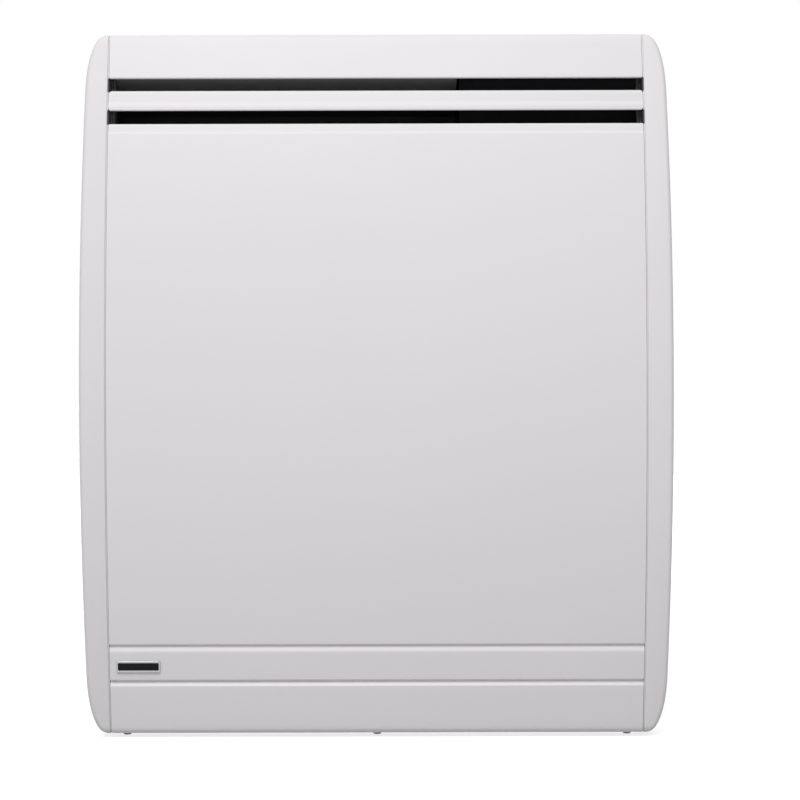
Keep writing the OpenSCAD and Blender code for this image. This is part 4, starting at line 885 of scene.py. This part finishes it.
# %% Screws
HEAD_R, HEAD_H, SHANK_R, HEAD_BEND = 3.5, 2.35, 1.75, 1.5
CROSS_L, CROSS_W, PITCH = 1.8, 0.42, 0.6
dome = [(0.001, HEAD_H)]
for i in range(9):
    a = math.radians(90 * i / 8)
    dome.append((HEAD_R - HEAD_BEND * (1 - math.sin(a)), HEAD_H - HEAD_BEND * (1 - math.cos(a))))
head = lathe([*dome, (HEAD_R, 0.25), (HEAD_R - 0.15, 0.0), (SHANK_R, 0.0), (SHANK_R, -0.6)], 40)
for turn in (0, 90):
    bar = loft([[(-CROSS_L * s, -CROSS_W * s, z), (CROSS_L * s, -CROSS_W * s, z),
                 (CROSS_L * s, CROSS_W * s, z), (-CROSS_L * s, CROSS_W * s, z)]
                for z, s in ((HEAD_H - 1.3, 0.62), (HEAD_H + 0.5, 1.12))])
    head = carved(head, bar.turned(turn, "Z"))


def screw(length, twist):
    """A screw with its head above z = 0, its cross turned and a ridged shank below."""
    ridges = [(SHANK_R, -0.6)]
    for i in range(int((length - 1.2) / PITCH)):
        ridges += [(SHANK_R - 0.3, -0.8 - PITCH * i), (SHANK_R, -1.1 - PITCH * i)]
    ridges.append((0.4, -length))
    return (head + lathe(ridges, 20)).turned(twist, "Z")


FOOT_SCREW_X, FOOT_SCREW_Y = 202, face_y(-HALF_H + 5, 5.0) + 11.0
HOOD_SCREW_X, CONTROL_SCREW_X = 170, 142 / 3
ELEMENT_Y, ELEMENT_Z, ELEMENT_PITCH = -62, -190, 24
screw_rows = {
    "foot_screws": [
        screw(8, t).turned(180, "X").at(x, FOOT_SCREW_Y, -HALF_H)
        for x, t in ((-FOOT_SCREW_X, 20), (0, 65), (FOOT_SCREW_X, -15))],
    "hood_screws": [
        screw(5.5, t).turned(-90, "X").at(x, BACK + SHEET, HALF_H - 11)
        for x, t in ((-HOOD_SCREW_X, 10), (0, 50), (HOOD_SCREW_X, 30))],
    "end_cap_screws": [
        screw(10, 25 * i).turned(-90, "Y").at(HALF_CASE - 1, BOSS_Y, z)
        for i, z in enumerate(BOSS_ZS)],
    "element_screws": [
        screw(6, 40 * i).turned(90, "Y").at(HALF_CASE, ELEMENT_Y, ELEMENT_Z + z)
        for i, z in enumerate((-ELEMENT_PITCH, ELEMENT_PITCH))],
    "control_screws": [
        screw(8, t).turned(-90, "X").at(CTRL_MID + x, BACK, HALF_H - 26)
        for x, t in ((-CONTROL_SCREW_X, 35), (CONTROL_SCREW_X, 80))],
}
for row_name, screws in screw_rows.items():
    row_shape = total(screws)
    if row_name in ("end_cap_screws", "element_screws"):
        row_shape = row_shape.both_sides()
    piece(row_name + "_set", row_shape, "heater", "screw_steel", [row_name])

# %% [markdown]
# ## The badge
# A small bare plate sits at the left end of the strip between the grooves: a chromed edging
# with a rounded rim, and a plain glossy field inside it. Both lean with the bow.

# %% Badge
BADGE_W, BADGE_H, FIELD_W, FIELD_H = 35.0, 9.8, 32.5, 6.1
BADGE_X = 5.5 + BADGE_W / 2 - HALF_PANEL
BADGE_Z = (GROOVES[0] + GROOVES[1] - GROOVE_H) / 2
badge_y, badge_level = face_at(BADGE_Z)
badge_lean = Matrix.Translation((BADGE_X, badge_y, badge_level)) @ Matrix.Rotation(
    -math.asin(BADGE_Z / ARC_R), 4, "X")
edging = prism(block_loop(BADGE_W, BADGE_H, 1.2), -1.4, 0.0, "Y", 0.5)
opening = block_loop(FIELD_W + 0.1, FIELD_H + 0.1, 0.7)
edging = carved(edging, prism(opening, -2.0, -0.5, "Y"))
field = prism(block_loop(FIELD_W, FIELD_H, 0.7), -0.95, -0.5, "Y", 0.15)
piece("badge_edging", edging.placed(badge_lean), "heater", "badge_chrome",
      ["badge_frame"], bevel=0.12)
piece("badge_field", field.placed(badge_lean), "heater", "badge_black", ["badge_inlay"])

# %% [markdown]
# ## The controls in the hood
# Under the window lies a sunk tray with a thermostat knob, a rocker switch and a pilot lamp.
# The tray is a rounded frame and a floor with three holes. Around the knob the scale is a row
# of raised bars, which grow longer and wider from cool to warm.

# %% Control tray
TRAY_TOP, TRAY_FLOOR = HALF_H + 0.4, HALF_H - 10.0
PLATE_W, PLATE_D, PLATE_T = 142.0, 52.4, 2.0
RIM_W, RIM_D, RIM_T = WINDOW_W - 0.8, WINDOW_D - 0.8, 1.6
KNOB_X, SWITCH_X, LAMP_X = CTRL_MID - 32.0, CTRL_MID + 14.0, CTRL_MID + 44.0
SPINDLE_HOLE, LAMP_HOLE = 4.7, 3.1
middle = (CTRL_MID, CTRL_Y)
plate_loop = block_loop(PLATE_W, PLATE_D, 1.0, 2, middle)
plate = prism(plate_loop, TRAY_FLOOR - PLATE_T, TRAY_FLOOR, "Z")
rim = prism(block_loop(RIM_W, RIM_D, 1.4, 5, middle), TRAY_FLOOR - 1.0, TRAY_TOP, "Z", 0.4)
inside = block_loop(RIM_W - 2 * RIM_T, RIM_D - 2 * RIM_T, 1.0, 5, middle)
rim = carved(rim, prism(inside, TRAY_FLOOR, TRAY_TOP + 2, "Z"))
holes = total(prism(outline, 260, 275, "Z") for outline in (
    circle_loop(SPINDLE_HOLE, middle=(KNOB_X, CTRL_Y)),
    circle_loop(LAMP_HOLE, middle=(LAMP_X, CTRL_Y)),
    block_loop(13.0, 18.0, 0, 1, (SWITCH_X, CTRL_Y))))
tray = carved(plate, holes) + carved(rim, holes)
SCALE_R, SCALE_BARS = 18.6, 11
scale_bars = Shape()
for i in range(SCALE_BARS):
    outline = block_loop(1.6 + 0.16 * i, 0.7 + 0.09 * i, 0.3, 3, (SCALE_R, 0))
    bar = prism(outline, TRAY_FLOOR, TRAY_FLOOR + 0.3, "Z", 0.1)
    scale_bars = scale_bars + bar.turned(225 - 27 * i, "Z").at(KNOB_X, CTRL_Y, 0)
piece("control_tray", tray, "heater", "fascia_grey", ["control_fascia"])
piece("knob_scale", scale_bars, "heater", "knob_white")

# %% [markdown]
# The knob is turned on a lathe, with its flank waved into 24 soft grips and a pointer ridge
# on top. The rocker's top is hollowed for a finger, and the lamp is a small stepped lens.

# %% Knob, rocker and lamp
KNOB_FOOT = TRAY_FLOOR + 0.5
knob_line = [(3.1, 0.0), (15.6, 0.0), (16.0, 0.4), (16.0, 1.5), (15.6, 2.1), (14.3, 2.5),
             (13.3, 2.9), (12.95, 4.0), (12.7, 6.0), (12.5, 7.6), (12.1, 8.4), (11.4, 8.9),
             (10.6, 9.0), (9.4, 8.7), (6.0, 8.55), (0.01, 8.5)]
GRIPS, GRIP_DEPTH = 24, 0.022


def grips(i, a):
    """Waves the knob's flank, points 7 to 10 of its line, and nothing else."""
    return 1 + GRIP_DEPTH * math.cos(GRIPS * a) * (7 <= i <= 10)


knob_shape = lathe(knob_line, 192, grips)
pointer = prism(block_loop(1.6, 9.5, 0.7, 4, (0, 6.6)), 8.2, 8.98, "Z", 0.25)
knob_place = Matrix.Translation((KNOB_X, CTRL_Y, KNOB_FOOT)) @ Matrix.Rotation(
    math.radians(45), 4, "Z")
piece("knob_turned", knob_shape.placed(knob_place), "knob", "knob_white", ["thermostat_knob"])
piece("knob_pointer", pointer.placed(knob_place), "knob", "rocker_red")

rocker_line = rounded([(-5.0, -3.0, 0), (5.0, -3.0, 0.3), (6.4, 0.6, 0.6), (6.7, 4.1, 0.5),
                       (3.2, 3.1, 3.0), (0.0, 2.7, 3.0), (-3.2, 3.1, 3.0), (-6.7, 4.1, 0.5),
                       (-6.4, 0.6, 0.6), (-5.0, -3.0, 0)], 4)[:-1]
rocker_shape = prism(rocker_line, -4.8, 4.8, "X", 0.35)
MARK_Y, MARK_FOOT, MARK_TOP = 4.2, 3.0, 3.65
on_mark = prism(block_loop(0.8, 2.6, 0.3, 3, (0, -MARK_Y)), MARK_FOOT, MARK_TOP, "Z")
off_mark = carved(prism(circle_loop(1.5, 24, (0, MARK_Y)), MARK_FOOT, MARK_TOP, "Z"),
                  prism(circle_loop(0.9, 24, (0, MARK_Y)), MARK_FOOT - 1, MARK_TOP + 1, "Z"))
rocker_place = Matrix.Translation((SWITCH_X, CTRL_Y, TRAY_FLOOR - 1.5)) @ Matrix.Rotation(
    math.radians(-10), 4, "X")
piece("rocker_key", rocker_shape.placed(rocker_place), "rocker", "rocker_red", ["power_rocker"])
piece("rocker_marks", (on_mark + off_mark).placed(rocker_place), "rocker", "knob_white")

lens = lathe([(3.0, -8.0), (3.0, 0.0), (2.9, 0.35), (2.5, 0.75), (2.3, 0.6), (1.8, 1.05),
              (1.5, 0.9), (0.9, 1.25), (0.01, 1.3)], 40)
piece("lamp_lens", lens.at(LAMP_X, CTRL_Y, TRAY_FLOOR), "heater", "lamp_amber", ["pilot_lens"])

# %% [markdown]
# ## The wall bracket
# Two channel rails carry the heater. Each is a folded sheet with true bends, two holes for
# wall screws, and an open hook at its foot that the heater's pivot bar turns in. Crossbars
# with riveted tabs tie the rails together.

# %% Rails
RAIL_X, RAIL_W, RAIL_D, RAIL_T, RAIL_BEND = 115.0, 30.0, 16.7, 1.5, 2.5
RAIL_FOOT, RAIL_TOP, TAIL_L = -232.0, 256.0, 34.5
WALL_HOLE_R, WALL_HOLE_Z = 3.25, 150.0


def channel_loop(width, depth):
    """A channel open to the front, with its web on the wall's side."""
    line = [(-width / 2, -depth, 0), (-width / 2, 0, RAIL_BEND),
            (width / 2, 0, RAIL_BEND), (width / 2, -depth, 0)]
    return sheet_loop(line, -RAIL_T)


rail_shape = prism(channel_loop(RAIL_W, RAIL_D), RAIL_FOOT, RAIL_TOP, "Z", 0.4)
rail_shape = rail_shape.at(RAIL_X, 0, 0)
tail_middle = (RAIL_X, RAIL_FOOT + 0.5 - TAIL_L / 2)
tail = prism(block_loop(RAIL_W, TAIL_L, 3.0, 5, tail_middle), -RAIL_T, 0, "Y", 0.3)
wall_holes = total(prism(circle_loop(WALL_HOLE_R, 40, (RAIL_X, z)), -4, 2, "Y")
                   for z in (-WALL_HOLE_Z, WALL_HOLE_Z))
rail_shape = carved(rail_shape, wall_holes)

PIVOT_Y, PIVOT_Z = -9.0, -255.0
HOOK_R, HOOK_T = 2.58, 2.0
reach = HOOK_R + HOOK_T
hook_line = [(-reach, 4.0, 0), (-reach, -reach, reach), (8.9, -reach, 0)]
hook = prism(sheet_loop(hook_line, HOOK_T, 12), -11.0, 11.0, "X", 0.35)
rail_shape = rail_shape + tail + hook.at(RAIL_X, PIVOT_Y, PIVOT_Z)
piece("right_rail_sheet", rail_shape, "bracket", "bracket_paint", ["right_rail"])
piece("left_rail_sheet", rail_shape.mirrored(), "bracket", "bracket_paint", ["left_rail"])

# %% Crossbars, rivets and springs
BAR_W, BAR_D, BAR_H, BAR_Z = 200.0, 12.0, 30.0, 185.0
bar_loop = channel_loop(BAR_W, BAR_D)
for bar_name, z in (("upper_crossbar", BAR_Z), ("lower_crossbar", -BAR_Z)):
    bar = prism(bar_loop, z - BAR_H / 2, z + BAR_H / 2, "Z", 0.4)
    piece(bar_name + "_sheet", bar, "bracket", "bracket_paint", [bar_name])

CATCH_Z, SPRING_T = 237.0, 0.8
rivet = lathe([(0.01, 1.2), (0.9, 1.13), (1.6, 0.85), (2.1, 0.3), (2.2, 0.0), (0.01, 0.0)], 28)
rivets = total(rivet.turned(90, "X").at(RAIL_X, -RAIL_T - SPRING_T, CATCH_Z - 20 - s * 22)
               for s in (0.25, 0.75))
rivets = rivets + total(rivet.turned(-90, "Y").at(BAR_W / 2 - RAIL_T, -6.75, z + s)
                        for z in (-BAR_Z, BAR_Z) for s in (-BAR_H / 4, BAR_H / 4))
piece("rivet_heads", rivets.both_sides(), "bracket", "screw_steel", ["bracket_rivets"])

spring_line = [
    (-2.3, CATCH_Z - 42, 0), (-2.3, CATCH_Z - 20, 6.0), (BACK + 3.0, CATCH_Z - 9, 5.0),
    (BACK - 1 - 4.5, CATCH_Z, 3.0), (BACK + 2.5, CATCH_Z + 8, 0)]
spring = prism(sheet_loop(spring_line, -SPRING_T), RAIL_X - 7, RAIL_X + 7, "X", 0.25)
piece("catch_leaves", spring.both_sides(), "bracket", "spring_steel", ["catch_springs"])

# %% [markdown]
# ## Pivot bars
# The bars that turn in the hooks are plain rod with chamfered ends, held in ears of the
# casing. A lathe profile on its side is all they need.

# %% Pivot bars
rod = lathe([(0.01, -21), (2.1, -21), (2.5, -20.6), (2.5, 20.6), (2.1, 21), (0.01, 21)], 40)
bars = total(rod.turned(90, "Y").at(x, PIVOT_Y, PIVOT_Z) for x in (-RAIL_X, RAIL_X))
piece("pivot_rods", bars, "heater", "screw_steel", ["pivot_bars"])

# %% [markdown]
# ## The camera
# The photograph was taken square to the front from about two metres, with the object left of
# and above the middle of the picture. Its perspective is slight: the slot edges and the
# cap's sides show how far away the camera stood. A shift moves the frame, as on a view
# camera, and an eighth of a degree of roll follows the photograph's tilt.

# %% Camera
CAMERA_Y, ROLL = -2.211, 0.13
FRAME, SHIFT_RIGHT, SHIFT_UP = 800, 23.6, -16.35
camera_data = bpy.data.cameras.new("camera")
camera_data.lens, camera_data.sensor_width = 119.3, 36.0
camera_data.shift_x, camera_data.shift_y = SHIFT_RIGHT / FRAME, SHIFT_UP / FRAME
camera = new_object("camera", camera_data)
camera.location = (0, CAMERA_Y, 0)
camera.rotation_euler = (math.radians(90), math.radians(ROLL), 0)
bpy.context.scene.camera = camera
print("camera at", tuple(camera.location))

# %% [markdown]
# ## Studio light
# One large soft lamp stands in front of the heater and well above it, so surfaces that look
# up are brighter than those that look down, as in the photograph. A weak even world fills
# the shade. The world shows white to the camera and to mirrors, and dimmer to everything
# else, so that a white background adds no light to the object.

# %% Lamp and world
AIM = Vector((0, -0.1, 0))


def soft_lamp(name, place, size, power):
    """A square lamp that looks at the heater."""
    data = bpy.data.lights.new(name, "AREA")
    data.shape, data.size, data.size_y, data.energy = "RECTANGLE", *size, power
    lamp = new_object(name, data)
    lamp.location = place
    lamp.rotation_euler = (AIM - Vector(place)).to_track_quat("-Z", "Y").to_euler()
    print(f"{name}: {power} W from {place}")


soft_lamp("main lamp", (-0.6, -4.2, 4.3), (4.0, 3.0), 258.0)

world = bpy.data.worlds.new("studio")
bpy.context.scene.world = world
world.use_nodes = True
wire = Wire(world.node_tree)


def seen_rays(wire):
    """1 for rays from the camera, in mirrors and through glass, else 0."""
    rays = [wire.node("ShaderNodeLightPath", output=kind)
            for kind in ("Is Camera Ray", "Is Glossy Ray", "Is Transmission Ray")]
    return wire.maths("MINIMUM", rays[0] + rays[1] + rays[2], 1.0)


WORLD_FILL = 0.36
background = world.node_tree.nodes["Background"]
background.inputs["Color"].default_value = (1, 1, 1, 1)
(WORLD_FILL + (1 - WORLD_FILL) * seen_rays(wire)).into(background, "Strength")
print("world fill:", WORLD_FILL)

# %% [markdown]
# ## The floor
# The heater hangs on a wall, so the floor lies a little below it. It is pale and plain. To
# the camera it adds just enough of its own light to reach white where the lamp falls on it,
# and more where the lamp fades with distance, so its far edge can't be seen and the object's
# shadow stays.

# %% Floor
FLOOR_Z, FLOOR_HALF = -0.2845, 6.0
NEAR_GLOW, FAR_GLOW, FADE = 0.76, 0.3, (0.5, 2.2)
floor_mesh = bpy.data.meshes.new("floor")
h = FLOOR_HALF
floor_mesh.from_pydata([(-h, -h, 0), (h, -h, 0), (h, h, 0), (-h, h, 0)], [], [(0, 1, 2, 3)])
floor = new_object("floor", floor_mesh)
floor.location.z = FLOOR_Z
paint = bpy.data.materials.new("pale floor")
paint.use_nodes = True
tree = paint.node_tree
tree.nodes.clear()
wire = Wire(tree)
place = wire.node("ShaderNodeTexCoord", output="Object")
reach = wire.node("ShaderNodeVectorMath", {"operation": "LENGTH"}, {0: place}, "Value")
glow = NEAR_GLOW + FAR_GLOW * step_up(wire, reach, *FADE)
grain = tint(wire, noise(wire, 30.0, 4.0), (0.49, 0.49, 0.49), (0.51, 0.51, 0.51))
matt = wire.node("ShaderNodeBsdfDiffuse", None, {"Color": grain})
shine = wire.node("ShaderNodeEmission", None, {"Strength": glow * seen_rays(wire)})
both = wire.node("ShaderNodeAddShader", None, {0: matt, 1: shine})
out = tree.nodes.new("ShaderNodeOutputMaterial")
both.into(out, "Surface")
floor_mesh.materials.append(paint)
print("floor at", FLOOR_Z, "m")

# %% [markdown]
# ## Last settings
# The picture's tones are left as they are, without a film curve.

# %% Finish
bpy.context.scene.view_settings.view_transform = "Standard"
